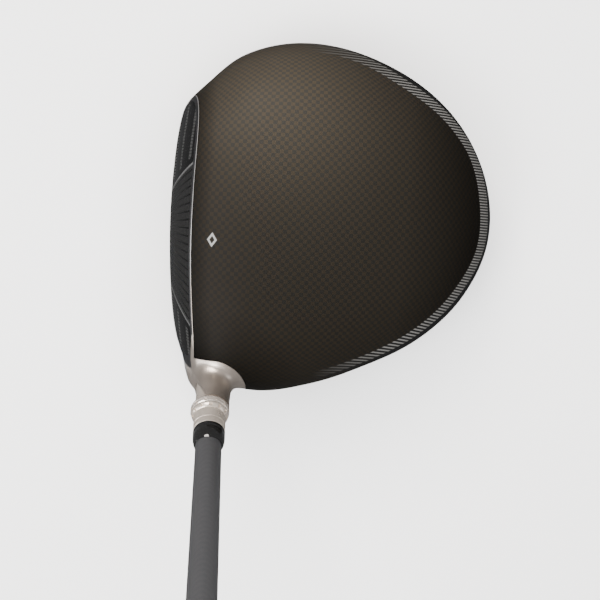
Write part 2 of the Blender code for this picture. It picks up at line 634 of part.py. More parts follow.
def shaft_radius(along):
    """Outer radius: parallel tip, then an even taper to the butt."""
    share = min(max((along - taper_start) / (grip_start - taper_start), 0.0), 1.0)
    return TIP_RADIUS + (BUTT_RADIUS - TIP_RADIUS) * share


stations = [shaft_end, grip_start] + [
    grip_start + (taper_start - grip_start) * k / 6 for k in range(1, 7)] + [shaft_bottom]
shaft = turned(
    "shaft", shaft_axis,
    [(shaft_radius(along), along) for along in stations],
    [(shaft_radius(along) - SHAFT_WALL, along) for along in stations], steps=36)
keep(shaft, (0.22, 0.22, 0.23), 0.4, 0.0)

plug_radius = TIP_RADIUS - SHAFT_WALL - GAP
plug_start = shaft_bottom + PLUG_RISE
tip_plug = turned(
    "tip_plug", shaft_axis,
    [(0, plug_start + PLUG_LENGTH), (plug_radius, plug_start + PLUG_LENGTH),
     (plug_radius, plug_start), (0, plug_start)], steps=20)
keep(tip_plug, (0.60, 0.45, 0.20), 0.4, 1.0)

tape_radius = BUTT_RADIUS + GAP + TAPE_THICKNESS
grip_tape = turned(
    "grip_tape", shaft_axis,
    [(tape_radius, shaft_end - TAPE_END), (tape_radius, grip_start + TAPE_START)],
    [(BUTT_RADIUS + GAP, shaft_end - TAPE_END), (BUTT_RADIUS + GAP, grip_start + TAPE_START)], steps=36)
keep(grip_tape, (0.75, 0.72, 0.62), 0.8, 0.0)

grip_bore = tape_radius + GAP
grip_rows = 6
rows = [1 - k / grip_rows for k in range(grip_rows + 1)]
grip_outer = [(GRIP_MOUTH_RADIUS + (GRIP_END_RADIUS - GRIP_MOUTH_RADIUS) * share,
               grip_start + (shaft_end - grip_start) * share) for share in rows]
mouth_chamfer = 0.0008
grip_outer[-1] = (GRIP_MOUTH_RADIUS, grip_start + mouth_chamfer)
grip_outer.append((GRIP_MOUTH_RADIUS - mouth_chamfer, grip_start))
grip_sleeve = turned("grip_sleeve", shaft_axis, grip_outer,
                     [(grip_bore, shaft_end), (grip_bore, grip_start)], steps=36)
keep(grip_sleeve, (0.02, 0.02, 0.02), 0.8, 0.0)

grip_cap = turned(
    "grip_cap", shaft_axis,
    [(0, butt), (GRIP_END_RADIUS - 0.0012, butt), (GRIP_END_RADIUS, butt - 0.0012),
     (GRIP_END_RADIUS, butt - CAP_THICKNESS), (0, butt - CAP_THICKNESS)], steps=36)
keep(grip_cap, (0.02, 0.02, 0.02), 0.6, 0.0)
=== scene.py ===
import bpy
import bmesh
import math
from mathutils import Matrix, Vector


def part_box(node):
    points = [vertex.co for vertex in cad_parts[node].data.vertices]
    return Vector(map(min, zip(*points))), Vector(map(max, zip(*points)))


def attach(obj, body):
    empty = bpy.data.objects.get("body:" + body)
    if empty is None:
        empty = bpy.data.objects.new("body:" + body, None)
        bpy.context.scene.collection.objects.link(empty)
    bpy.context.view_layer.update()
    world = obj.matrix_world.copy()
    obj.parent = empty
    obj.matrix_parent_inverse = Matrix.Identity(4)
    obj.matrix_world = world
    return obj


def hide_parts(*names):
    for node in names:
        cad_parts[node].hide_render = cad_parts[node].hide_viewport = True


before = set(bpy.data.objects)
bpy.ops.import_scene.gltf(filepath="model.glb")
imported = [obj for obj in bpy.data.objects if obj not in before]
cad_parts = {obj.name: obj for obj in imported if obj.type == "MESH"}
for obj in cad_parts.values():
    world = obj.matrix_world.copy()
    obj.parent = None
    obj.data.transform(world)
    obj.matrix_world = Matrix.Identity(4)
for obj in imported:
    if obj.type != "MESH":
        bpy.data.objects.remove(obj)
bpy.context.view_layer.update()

# ---- Camera, floor and light -------------------------------------------------------------
# The head is seen from almost straight above its middle, from a little over half an arm's
# length, on a plain white sweep with soft lights over the toe, the hosel and the shaft.
CAMERA_PLACE = Vector((-0.03254, 0.01797, 0.47072))
CAMERA_PITCH = math.radians(5.946)    # lens tipped towards the heel
CAMERA_YAW = math.radians(-4.804)     # lens tipped towards the back of the head
CAMERA_ROLL = math.radians(4.046)     # turn about the lens's own axis
FOCAL_LENGTH = 73.4
WORLD_STRENGTH = 0.16

camera_data = bpy.data.cameras.new("camera")
camera_data.lens = FOCAL_LENGTH
camera_data.sensor_width = 36.0
camera_data.clip_start = 0.01
camera = bpy.data.objects.new("camera", camera_data)
bpy.context.scene.collection.objects.link(camera)
camera.matrix_world = (Matrix.Translation(CAMERA_PLACE)
                       @ Matrix.Rotation(CAMERA_YAW, 4, "Y")
                       @ Matrix.Rotation(-CAMERA_PITCH, 4, "X")
                       @ Matrix.Rotation(CAMERA_ROLL, 4, "Z"))
bpy.context.scene.camera = camera

bm = bmesh.new()
bmesh.ops.create_circle(bm, cap_ends=True, segments=64, radius=2.5)
floor_mesh = bpy.data.meshes.new("floor")
bm.to_mesh(floor_mesh)
bm.free()
floor = bpy.data.objects.new("floor", floor_mesh)
bpy.context.scene.collection.objects.link(floor)
floor_paint = bpy.data.materials.new("floor_paper")
floor_paint.use_nodes = True
paper = floor_paint.node_tree.nodes["Principled BSDF"]
paper.inputs["Base Color"].default_value = (0.93, 0.93, 0.93, 1)
paper.inputs["Roughness"].default_value = 0.9
floor_mesh.materials.append(floor_paint)
floor.visible_glossy = False     # gloss sees the dark studio, not the paper

world = bpy.data.worlds.new("studio")
world.use_nodes = True
backdrop = world.node_tree.nodes["Background"]
backdrop.inputs["Color"].default_value = (1.0, 1.0, 1.0, 1)
backdrop.inputs["Strength"].default_value = WORLD_STRENGTH
bpy.context.scene.world = world


def softbox(name, place, target, width, height, power, warmth=1.0):
    """Rectangular studio light aimed at a point of the head."""
    light = bpy.data.lights.new(name, "AREA")
    light.shape = "RECTANGLE"
    light.size = width
    light.size_y = height
    light.energy = power
    light.color = (1.0, warmth, warmth * warmth)
    made = bpy.data.objects.new(name, light)
    bpy.context.scene.collection.objects.link(made)
    place = Vector(place)
    aim = (Vector(target) - place).to_track_quat("-Z", "Y")
    made.matrix_world = Matrix.Translation(place) @ aim.to_matrix().to_4x4()
    return made


softbox("toe_light", (-0.35, 0.70, 0.85), (-0.02, 0.03, 0.04), 0.55, 0.55, 16.0, 0.93)
softbox("hosel_light", (-0.45, -0.25, 0.80), (-0.03, -0.06, 0.05), 0.35, 0.35, 6.0)
softbox("shaft_light", (-0.9, -0.25, 0.35), (-0.03, -0.15, 0.2), 0.25, 0.9, 4.0)
softbox("back_light", (0.95, -0.25, 0.80), (0.02, -0.02, 0.03), 0.9, 0.4, 1.5)
softbox("grip_light", (-0.6, -1.3, 1.0), (0, -0.35, 0.5), 0.8, 0.8, 6.0)
fill = softbox("overhead_fill", (0, 0, 1.9), (0, 0, 0), 2.4, 2.4, 130.0)
fill.visible_glossy = False

# ---- Head skin ---------------------------------------------------------------------------
# Every panel of the head shares one smooth skin, bulged from the same mould: a rounded
# triangle seen from above, with a domed crown, a fuller sole and a swelling at the hosel.
REACH_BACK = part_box("skirt_ring")[1].x
REACH_TOE = 0.0635
CROWN_RISE = 0.0335
RIM_HEIGHT = 0.029
PAD_CUT = 0.00035
CROWN_POWER = 2.3
CROWN_BLUNT = 0.9
SOLE_POWER = 2.3
SOLE_BLUNT = 1.8
HOSEL_RAISE = 0.0090
HOSEL_RAISE_SPREAD = 0.017
HOSEL_RIM = Vector((-0.0261, -0.0631, 0.0646))
OUTLINE = (
    (-180, 0.672), (-160, 0.710), (-135, 0.870), (-120, 0.962), (-100, 0.970), (-80, 0.918),
    (-60, 0.886), (-40, 0.910), (-20, 0.957), (0, 1.000), (30, 1.006), (60, 0.999),
    (90, 0.999), (110, 0.954), (125, 0.874), (140, 0.818), (160, 0.710),
)
FAR = 0.2


def smooth_curve(points, at, turn=None):
    """Smooth curve through (place, value) points; turn closes it after that distance."""
    count = len(points)

    def point(i):
        if turn is None:
            i = min(max(i, 0), count - 1)
            return points[i]
        turns, left = divmod(i, count)
        return points[left][0] + turn * turns, points[left][1]

    index = max([i for i in range(count) if points[i][0] <= at] or [0])
    (a0, v0), (a1, v1), (a2, v2), (a3, v3) = (point(index + k) for k in (-1, 0, 1, 2))
    if a2 <= a1:
        return v1
    width = a2 - a1
    t = min(max((at - a1) / width, 0.0), 1.0)
    slope1 = (v2 - v0) / (a2 - a0) * width
    slope2 = (v3 - v1) / (a3 - a1) * width
    return ((2 * t**3 - 3 * t**2 + 1) * v1 + (t**3 - 2 * t**2 + t) * slope1
            + (3 * t**2 - 2 * t**3) * v2 + (t**3 - t**2) * slope2)


def rim_reach(angle):
    """Distance from the head's middle to its rim, seen from above, at an angle in degrees."""
    turn = math.radians(angle)
    full = math.hypot(REACH_BACK * math.cos(turn), REACH_TOE * math.sin(turn))
    return smooth_curve(OUTLINE, angle, 360.0) * full


def head_point(angle, climb, inset):
    """Point of the skin moved in by inset; climb runs from -90 at the sole to 90 at the top."""
    turn = math.radians(angle)
    ring = Vector((math.cos(turn), math.sin(turn)))
    rise = math.radians(abs(climb))
    front = (1 - ring.x) / 2
    if climb >= 0:
        power = CROWN_POWER + CROWN_BLUNT * front
        height = CROWN_RISE - inset
    else:
        power = SOLE_POWER + SOLE_BLUNT * front**2
        height = -(RIM_HEIGHT + PAD_CUT - inset)
    place = ring * ((rim_reach(angle) - inset) * max(math.cos(rise), 0.0) ** (2 / power))
    up = RIM_HEIGHT + height * math.sin(rise) ** (2 / power)
    if climb > 0:
        away = (place - HOSEL_RIM.xy).length / HOSEL_RAISE_SPREAD
        up += HOSEL_RAISE * math.exp(-away**2 / 2) * min(2 * math.sin(rise), 1.0)
    return Vector((place.x, place.y, up))


def new_piece(name, bm):
    """Object made from a bmesh, with its faces pointing outwards."""
    bmesh.ops.recalc_face_normals(bm, faces=bm.faces)
    mesh = bpy.data.meshes.new(name)
    bm.to_mesh(mesh)
    bm.free()
    made = bpy.data.objects.new(name, mesh)
    bpy.context.scene.collection.objects.link(made)
    return made


def head_skin(name, inset, around=192, levels=120):
    """Closed dome: a ball whose points are moved onto the head's skin."""
    bm = bmesh.new()
    bmesh.ops.create_uvsphere(bm, u_segments=around, v_segments=levels, radius=1.0)
    for vert in bm.verts:
        angle = math.degrees(math.atan2(vert.co.y, vert.co.x))
        climb = math.degrees(math.asin(min(max(vert.co.z, -1.0), 1.0)))
        if abs(climb) > 89.9:
            angle = 0.0
        vert.co = head_point(angle, climb, inset)
    return new_piece(name, bm)


# The striking face bulges from heel to toe and rolls from top to bottom on one large radius.
FACE_MIDDLE = Vector((-0.042, 0.004, 0.031))
FACE_RADIUS = 0.305
LOFT = math.radians(9.0)


def face_depth(across, up):
    """How far back the striking face lies at a place measured from its middle."""
    return FACE_MIDDLE.x + (across**2 + up**2) / (2 * FACE_RADIUS) + up * math.tan(LOFT)


def face_block(name, behind, steps=40):
    """Everything behind the striking face, moved back by a distance."""
    bm = bmesh.new()
    bmesh.ops.create_grid(bm, x_segments=steps, y_segments=steps, size=0.5)
    for vert in bm.verts:
        across = vert.co.x * 0.20
        up = vert.co.y * 0.14
        vert.co = (face_depth(across, up) + behind, FACE_MIDDLE.y + across, FACE_MIDDLE.z + up)
    walls = bmesh.ops.extrude_face_region(bm, geom=bm.faces[:])
    for item in walls["geom"]:
        if isinstance(item, bmesh.types.BMVert):
            item.co.x = REACH_BACK + 0.03
    return new_piece(name, bm)


def box(name, low, high):
    """Axis-aligned block between two corners."""
    bm = bmesh.new()
    bmesh.ops.create_cube(bm, size=1.0)
    low, high = Vector(low), Vector(high)
    bmesh.ops.scale(bm, vec=high - low, verts=bm.verts)
    bmesh.ops.translate(bm, vec=(low + high) / 2, verts=bm.verts)
    return new_piece(name, bm)


def rod(name, place, radius, start, end, sides=64):
    """Cylinder along the local Z of place, from start to end."""
    bm = bmesh.new()
    bmesh.ops.create_cone(bm, cap_ends=True, segments=sides, radius1=radius, radius2=radius,
                          depth=end - start)
    bmesh.ops.translate(bm, vec=(0, 0, (start + end) / 2), verts=bm.verts)
    bmesh.ops.transform(bm, matrix=place, verts=bm.verts)
    return new_piece(name, bm)


def turned(name, place, profile, steps=96, closed=False):
    """Turned piece about the local Z of place, from (radius, height) points."""
    bm = bmesh.new()
    corners = [bm.verts.new((radius, 0, height)) for radius, height in profile]
    edges = [bm.edges.new(pair) for pair in zip(corners, corners[1:])]
    if closed:
        edges.append(bm.edges.new((corners[-1], corners[0])))
    bmesh.ops.spin(bm, geom=corners + edges, cent=(0, 0, 0), axis=(0, 0, 1),
                   angle=2 * math.pi, steps=steps, use_merge=True)
    bmesh.ops.remove_doubles(bm, verts=bm.verts, dist=0.000005)
    bmesh.ops.transform(bm, matrix=place, verts=bm.verts)
    return new_piece(name, bm)


def frame_along(start, direction):
    """Matrix whose local Z runs along direction from start, with local X near world X."""
    z_axis = direction.normalized()
    x_axis = Vector((1, 0, 0)) - z_axis * z_axis.x
    if x_axis.length < 0.5:
        x_axis = Vector((0, 1, 0))
    x_axis.normalize()
    turn = Matrix((x_axis, z_axis.cross(x_axis), z_axis)).transposed().to_4x4()
    return Matrix.Translation(start) @ turn


def cut(piece, tool, operation="DIFFERENCE"):
    """Boolean with a tool that is thrown away afterwards; the result is the piece's mesh."""
    boolean = piece.modifiers.new("cut", "BOOLEAN")
    boolean.operation = operation
    boolean.object = tool
    boolean.solver = "EXACT"
    settle(piece)
    bpy.data.objects.remove(tool, do_unlink=True)
    return piece


def settle(piece):
    """Make the result of the piece's modifiers its mesh."""
    bpy.context.view_layer.update()
    result = piece.evaluated_get(bpy.context.evaluated_depsgraph_get())
    mesh = bpy.data.meshes.new_from_object(result)
    piece.modifiers.clear()
    piece.data = mesh
    mesh.name = piece.name
    return piece


def finish_piece(piece, body, nodes, paint, sharp=35.0):
    """Give a piece its shading, material and slot, and let it stand for its CAD nodes."""
    piece.data.materials.clear()
    piece.data.materials.append(paint)
    piece.data.shade_smooth()
    piece.data.set_sharp_from_angle(angle=math.radians(sharp))
    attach(piece, body)
    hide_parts(*nodes)
    return piece


def plain(name, colour, roughness, metallic, **sockets):
    """New Principled material; returns it, its node tree and its shader."""
    paint = bpy.data.materials.new(name)
    paint.use_nodes = True
    shader = paint.node_tree.nodes["Principled BSDF"]
    shader.inputs["Base Color"].default_value = (*colour, 1)
    shader.inputs["Roughness"].default_value = roughness
    shader.inputs["Metallic"].default_value = metallic
    for socket, value in sockets.items():
        shader.inputs[socket.replace("_", " ")].default_value = value
    return paint, paint.node_tree, shader


def feed(tree, socket, value):
    """Link another socket's value into a socket, or set it to a number or a colour."""
    if isinstance(value, bpy.types.NodeSocket):
        tree.links.new(value, socket)
    elif socket.type == "RGBA":
        socket.default_value = (*value, 1)
    else:
        socket.default_value = value


def math_node(tree, operation, first, *others, clamp=False):
    """Math on sockets or numbers; more than two are joined one after another."""
    result = first
    for other in others or (None,):
        node = tree.nodes.new("ShaderNodeMath")
        node.operation = operation
        node.use_clamp = clamp
        feed(tree, node.inputs[0], result)
        if other is not None:
            feed(tree, node.inputs[1], other)
        result = node.outputs[0]
    return result


def mix_colour(tree, share, first, second):
    """Mix two colours by a share socket; returns the result."""
    node = tree.nodes.new("ShaderNodeMix")
    node.data_type = "RGBA"
    tree.links.new(share, node.inputs[0])
    feed(tree, node.inputs[6], first)
    feed(tree, node.inputs[7], second)
    return node.outputs[2]


def spread(tree, value, low, high, to_low=0.0, to_high=1.0):
    """Map Range node from low..high to to_low..to_high, held at both ends."""
    node = tree.nodes.new("ShaderNodeMapRange")
    tree.links.new(value, node.inputs[0])
    for socket, number in zip(node.inputs[1:5], (low, high, to_low, to_high)):
        socket.default_value = number
    return node.outputs[0]


def bump(tree, height, shader, strength, distance):
    """Bump node fed by a height, linked to the shader's normal."""
    node = tree.nodes.new("ShaderNodeBump")
    node.inputs["Strength"].default_value = strength
    node.inputs["Distance"].default_value = distance
    tree.links.new(height, node.inputs["Height"])
    tree.links.new(node.outputs["Normal"], shader.inputs["Normal"])
    return node


def group(name, inputs, outputs):
    """New shader node group with named float or colour sockets."""
    tree = bpy.data.node_groups.new(name, "ShaderNodeTree")
    for label, kind, value in inputs:
        socket = tree.interface.new_socket(label, in_out="INPUT", socket_type=kind)
        socket.default_value = value
    for label, kind in outputs:
        tree.interface.new_socket(label, in_out="OUTPUT", socket_type=kind)
    return tree, tree.nodes.new("NodeGroupInput"), tree.nodes.new("NodeGroupOutput")


def use_group(tree, shared, **values):
    """Place a shared node group in a material, with its own values."""
    node = tree.nodes.new("ShaderNodeGroup")
    node.node_tree = shared
    for label, value in values.items():
        feed(tree, node.inputs[label.capitalize()], value)
    return node


def here(tree):
    """Object coordinates of the point being shaded."""
    return tree.nodes.new("ShaderNodeTexCoord").outputs["Object"]


def split_here(tree):
    """The same coordinates as a node with X, Y and Z sockets."""
    node = tree.nodes.new("ShaderNodeSeparateXYZ")
    tree.links.new(here(tree), node.inputs[0])
    return node


def noise(tree, scale, detail=2.0, vector=None):
    """Value of a noise texture, at the point being shaded or at another vector."""
    node = tree.nodes.new("ShaderNodeTexNoise")
    feed(tree, node.inputs["Scale"], scale)
    node.inputs["Detail"].default_value = detail
    tree.links.new(here(tree) if vector is None else vector, node.inputs["Vector"])
    return node.outputs["Fac"]


def attribute(tree, name):
    """Value stored on the mesh under a name."""
    node = tree.nodes.new("ShaderNodeAttribute")
    node.attribute_name = name
    return node.outputs["Fac"]


def off_by(tree, socket, centre):
    """Distance of a coordinate from a centre, without its sign."""
    return math_node(tree, "ABSOLUTE", math_node(tree, "SUBTRACT", socket, centre))


def seen_distance(tree, split, x, y):
    """Distance, seen from above, between the point being shaded and a place."""
    off_x = math_node(tree, "SUBTRACT", split.outputs["X"], x)
    off_y = math_node(tree, "SUBTRACT", split.outputs["Y"], y)
    squares = math_node(tree, "ADD", math_node(tree, "MULTIPLY", off_x, off_x),
                        math_node(tree, "MULTIPLY", off_y, off_y))
    return math_node(tree, "SQRT", squares)


# Fine mottling shared by the metals: blasted grain, faint stains and tiny scratches.
metal_grain, grain_in, grain_out = group(
    "metal_grain",
    [("Scale", "NodeSocketFloat", 900.0), ("Low", "NodeSocketFloat", 0.25),
     ("High", "NodeSocketFloat", 0.40)],
    [("Roughness", "NodeSocketFloat"), ("Height", "NodeSocketFloat"),
     ("Stain", "NodeSocketFloat")])
grain = noise(metal_grain, grain_in.outputs["Scale"], 3.0)
stain = spread(metal_grain, noise(metal_grain, 60.0, 4.0), 0.35, 0.65)
blend = math_node(metal_grain, "ADD", math_node(metal_grain, "MULTIPLY", grain, 0.5),
                  math_node(metal_grain, "MULTIPLY", stain, 0.5))
reach = math_node(metal_grain, "SUBTRACT", grain_in.outputs["High"], grain_in.outputs["Low"])
rough = math_node(metal_grain, "ADD", math_node(metal_grain, "MULTIPLY", blend, reach),
                  grain_in.outputs["Low"])
metal_grain.links.new(rough, grain_out.inputs["Roughness"])
metal_grain.links.new(grain, grain_out.inputs["Height"])
metal_grain.links.new(stain, grain_out.inputs["Stain"])


def metal(name, colour, darker, low, high, scale=900.0, depth=0.00001, metallic=1.0):
    """Metal with grain in its roughness, colour and relief; satin ones are less metallic."""
    paint, tree, shader = plain(name, colour, low, metallic)
    grain_node = use_group(tree, metal_grain, scale=scale, low=low, high=high)
    tint = mix_colour(tree, grain_node.outputs["Stain"], darker, colour)
    tree.links.new(tint, shader.inputs["Base Color"])
    tree.links.new(grain_node.outputs["Roughness"], shader.inputs["Roughness"])
    bump(tree, grain_node.outputs["Height"], shader, 0.15, depth)
    return paint


# ---- Titanium chassis --------------------------------------------------------------------
# The front of the head is one titanium casting: the rim round the face, the front of the
# sole, and the neck with its bore. It is blasted to a satin; only the rim of the face is
# painted.
CHASSIS_EDGE = -0.008
CROWN_SEAM = 0.031
SOLE_SEAM = 0.014
WALL = 0.0026
CROWN_PANEL = 0.0010
SOLE_PANEL = 0.0012
FACE_LIP = 0.0008
TOP_LINE = 0.0006               # bare metal left showing between the face and the crown
COVER_THICKNESS = 0.0008
PLATE_DEPTH = 0.0044
JOINT = 0.00012
LAP = 0.0020
REMESH_CELL = 0.0007            # the casting is rounded on cells of this size
ROUNDING = ((0.022, 26), (0.040, 6), (1.0, 2))   # smoothing turns within a distance of the neck
ROUNDED_BELOW = -0.009
BORE_RADIUS = 0.0052            # the sleeve's bore, and the screw's port below it
BORE_WALL = 0.0058
SHANK_HOLE = 0.0028
THREAD_HOLE = 0.0022
FRONT_BOSS = 0.0085
FRONT_POCKET = 0.0065
SLOT_GAP = 0.0003
SLOT_TOP = 0.022
hosel_lie = math.radians(59.0)
hosel_up = Vector((0, -math.cos(hosel_lie), math.sin(hosel_lie)))
hosel = frame_along(HOSEL_RIM, hosel_up)
CROWN_CUT = Matrix.Translation((HOSEL_RIM.x, HOSEL_RIM.y + 0.0030, 0))
CROWN_CUT_RADIUS = 0.0124
HOSEL_RADIUS = 0.0065
NECK_SET_BACK = 0.0004          # the flare is cut this far behind the face
NECK_CORE = 0.0200              # length of the neck that stays round all the way
NECK = ((-0.004, 0.0), (0.004, 0.0), (0.009, 0.0004), (0.014, 0.0017), (0.019, 0.0040),
        (0.0235, 0.0068), (0.028, 0.0090), (0.033, 0.0092), (0.038, 0.0070), (0.043, 0.0030))


def crown_space(name, grow, deep):
    """Space of the crown panel: above its seam, behind the top line, clear of the neck."""
    region = box(name, (-FAR, -FAR, CROWN_SEAM - grow), (FAR, FAR, FAR))
    cut(region, face_block(name + "_front", TOP_LINE - grow), "INTERSECT")
    cut(region, head_skin(name + "_floor", deep, 128, 64))
    hole = rod(name + "_hole", CROWN_CUT, CROWN_CUT_RADIUS - grow, -FAR, FAR, 96)
    side = CROWN_CUT.translation.y + CROWN_CUT_RADIUS - grow - 0.0001
    heel = box(name + "_heel", (-FAR, -FAR, -FAR * 0.9), (HOSEL_RIM.x, side, FAR * 0.9))
    cut(hole, heel, "UNION")
    return cut(region, hole)


def sole_space(name, grow, deep):
    """Space of the sole panel: below its seam, behind the chassis, clear of the rear port."""
    region = box(name, (CHASSIS_EDGE - LAP - grow, -FAR, -FAR), (FAR, FAR, SOLE_SEAM + grow))
    cut(region, head_skin(name + "_floor", deep, 128, 64))
    return cut(region, rod(name + "_port", rear_port, REAR_BOSS - grow, -0.02, 0.02))


REAR_WEIGHT_TILT = math.radians(25.0)
REAR_WEIGHT_HEIGHT = 0.0215
REAR_BOSS = 0.0094
rear_out = Vector((math.cos(REAR_WEIGHT_TILT), 0, -math.sin(REAR_WEIGHT_TILT)))
rear_drop = (RIM_HEIGHT - REAR_WEIGHT_HEIGHT) / (RIM_HEIGHT + PAD_CUT)
rear_skin = REACH_BACK * (1 - rear_drop**SOLE_POWER) ** (1 / SOLE_POWER)
rear_port = frame_along(Vector((rear_skin, 0, REAR_WEIGHT_HEIGHT)), rear_out)
front_port = frame_along(Vector((-0.0175, 0.006, 0.0)), Vector((0, 0, -1)))

chassis = head_skin("titanium_chassis", 0.0, 256, 160)
cut(chassis, box("front_half", (-FAR, -FAR, -FAR), (CHASSIS_EDGE + 0.004, FAR, FAR)), "INTERSECT")
neck_profile = [(0.0, 0.004)]
neck_profile += [(HOSEL_RADIUS + flare, -down) for down, flare in NECK]
neck_profile.append((0.0, -NECK[-1][0]))
neck = turned("neck", hosel, neck_profile, 64)
neck_space = face_block("neck_front", NECK_SET_BACK)
cut(neck_space, rod("neck_core", hosel, HOSEL_RADIUS + 0.0001, -NECK_CORE, 0.02), "UNION")
cut(neck, neck_space, "INTERSECT")
cut(chassis, neck, "UNION")
remesh = chassis.modifiers.new("even", "REMESH")
remesh.mode = "VOXEL"
remesh.voxel_size = REMESH_CELL
settle(chassis)
bm = bmesh.new()
bm.from_mesh(chassis.data)
for reach_round, turns in ROUNDING:
    near = []
    for vert in bm.verts:
        along = (vert.co - HOSEL_RIM).dot(hosel_up)
        off = (vert.co - HOSEL_RIM - hosel_up * along).length
        if off < reach_round and along < ROUNDED_BELOW:
            near.append(vert)
    for turn in range(turns):
        bmesh.ops.smooth_vert(bm, verts=near, factor=0.5, use_axis_x=True, use_axis_y=True,
                              use_axis_z=True)
bm.to_mesh(chassis.data)
bm.free()
cut(chassis, face_block("chassis_front", 0.0, 80), "INTERSECT")
cut(chassis, box("rear_half", (CHASSIS_EDGE, -FAR, -FAR), (FAR, FAR, FAR)))
cut(chassis, rod("above_rim", hosel, 0.02, 0.0, 0.02))
hollow = head_skin("hollow", WALL, 96, 48)
cut(hollow, face_block("hollow_front", PLATE_DEPTH + 0.002, 20), "INTERSECT")
cut(hollow, rod("bore_wall", hosel, BORE_WALL, -0.09, 0.01))
cut(hollow, rod("front_boss", front_port, FRONT_BOSS, -0.0140, 0.01))
cut(chassis, hollow)
cut(chassis, crown_space("crown_recess", JOINT, CROWN_PANEL + JOINT))
cut(chassis, sole_space("sole_recess", JOINT, SOLE_PANEL + JOINT))
seat = head_skin("face_seat", FACE_LIP, 192, 96)
cut(seat, face_block("seat_back", PLATE_DEPTH))
cut(seat, rod("seat_neck", hosel, HOSEL_RADIUS - 0.0001, -0.1, 0.02))
cut(chassis, seat)
SLOT_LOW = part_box("slot_insert")[0] - Vector((SLOT_GAP, SLOT_GAP, 0))
SLOT_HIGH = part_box("slot_insert")[1] + Vector((SLOT_GAP, SLOT_GAP, 0))
cut(chassis, box("slot", (SLOT_LOW.x, SLOT_LOW.y, -0.01), (SLOT_HIGH.x, SLOT_HIGH.y, SLOT_TOP)))
for label, port, radius, start, end in (
        ("sleeve_bore", hosel, BORE_RADIUS, -0.0550, 0.02),
        ("shank_hole", hosel, SHANK_HOLE, -0.0615, -0.0540),
        ("screw_port", hosel, BORE_RADIUS, -0.12, -0.0605),
        ("front_pocket", front_port, FRONT_POCKET, -0.0057, 0.01),
        ("front_thread", front_port, THREAD_HOLE, -0.0112, -0.0050)):
    cut(chassis, rod(label, port, radius, start, end))
cut(chassis, box("under_ground", (-FAR, -FAR, -FAR), (FAR, FAR, 0.0)))


def behind_face(tree):
    """Sockets for a point's place on the face: across, up, and how far behind the surface."""
    split = split_here(tree)
    across = math_node(tree, "SUBTRACT", split.outputs["Y"], FACE_MIDDLE.y)
    up = math_node(tree, "SUBTRACT", split.outputs["Z"], FACE_MIDDLE.z)
    squares = math_node(tree, "ADD", math_node(tree, "MULTIPLY", across, across),
                        math_node(tree, "MULTIPLY", up, up))
    surface = math_node(tree, "ADD", math_node(tree, "DIVIDE", squares, 2 * FACE_RADIUS),
                        math_node(tree, "MULTIPLY", up, math.tan(LOFT)))
    depth = math_node(tree, "SUBTRACT", split.outputs["X"],
                      math_node(tree, "ADD", surface, FACE_MIDDLE.x))
    return across, up, depth, split


# The casting is bare satin titanium, with black paint on the rim that frames the face and a
# brighter polished line between that paint and the crown.
SATIN = 0.93                    # share of metal in the satin titanium
titanium = metal("satin_titanium", (0.66, 0.585, 0.52), (0.57, 0.50, 0.44), 0.30, 0.42)
tree = titanium.node_tree
shader = tree.nodes["Principled BSDF"]
across, up, depth, split = behind_face(tree)
PAINT_DEPTH = 0.00038
front = spread(tree, depth, PAINT_DEPTH - 0.00004, PAINT_DEPTH + 0.00004, 1.0, 0.0)
over_y = math_node(tree, "SUBTRACT", split.outputs["Y"], HOSEL_RIM.y)
over_z = math_node(tree, "SUBTRACT", split.outputs["Z"], HOSEL_RIM.z)
along_neck = math_node(tree, "ADD", math_node(tree, "MULTIPLY", over_y, hosel_up.y),
                       math_node(tree, "MULTIPLY", over_z, hosel_up.z))
below_neck = spread(tree, along_neck, -0.0195, -0.0190, 1.0, 0.0)
painted = math_node(tree, "MULTIPLY", front, below_neck)
bare = shader.inputs["Base Color"].links[0].from_socket
line = math_node(tree, "MULTIPLY", spread(tree, depth, 0.0016, 0.0020, 1.0, 0.0),
                 spread(tree, along_neck, -0.030, -0.026, 1.0, 0.0))
tint = mix_colour(tree, line, bare, (0.62, 0.61, 0.60))
tint = mix_colour(tree, painted, tint, (0.006, 0.006, 0.007))
tree.links.new(tint, shader.inputs["Base Color"])
tree.links.new(spread(tree, painted, 0.0, 1.0, SATIN, 0.0), shader.inputs["Metallic"])
finish_piece(chassis, "head", ["head_chassis"], titanium, 40)

# ---- Face cover --------------------------------------------------------------------------
# The striking face is a carbon plate under a thin moulded film. The film is black, with
# fine score strips at toe and heel and a fan of lines between two splayed borders.
face_cover = head_skin("face_cover_film", FACE_LIP + JOINT, 192, 120)
cut(face_cover, face_block("cover_front", 0.0, 90), "INTERSECT")
cut(face_cover, face_block("cover_back", COVER_THICKNESS, 30))
cut(face_cover, rod("cover_neck", hosel, HOSEL_RADIUS, -0.1, 0.02))

film, tree, shader = plain("face_film_black", (0.006, 0.006, 0.007), 0.16, 0.0,
                           Specular_IOR_Level=0.02)
across, up, depth, split = behind_face(tree)
FAN_MIDDLE = -0.0130             # the fan stands towards the heel, where the ball is met
FAN_ROOT = 0.092                 # its lines meet this far below the middle of the face
FAN_STEP = 0.0244
BORDER = 0.0213                  # half width of the panel at mid height
BORDER_SPLAY = 0.24              # and how much wider it grows per distance up
from_fan = math_node(tree, "SUBTRACT", across, FAN_MIDDLE)
fan = math_node(tree, "DIVIDE", from_fan, math_node(tree, "ADD", up, FAN_ROOT))
fan = math_node(tree, "DIVIDE", fan, FAN_STEP)
fan_line = spread(tree, math_node(tree, "PINGPONG", fan, 0.5), 0.09, 0.14, 1.0, 0.0)
fine = math_node(tree, "PINGPONG", math_node(tree, "DIVIDE", up, 0.0024), 0.5)
row_line = spread(tree, fine, 0.10, 0.18, 0.55, 0.0)
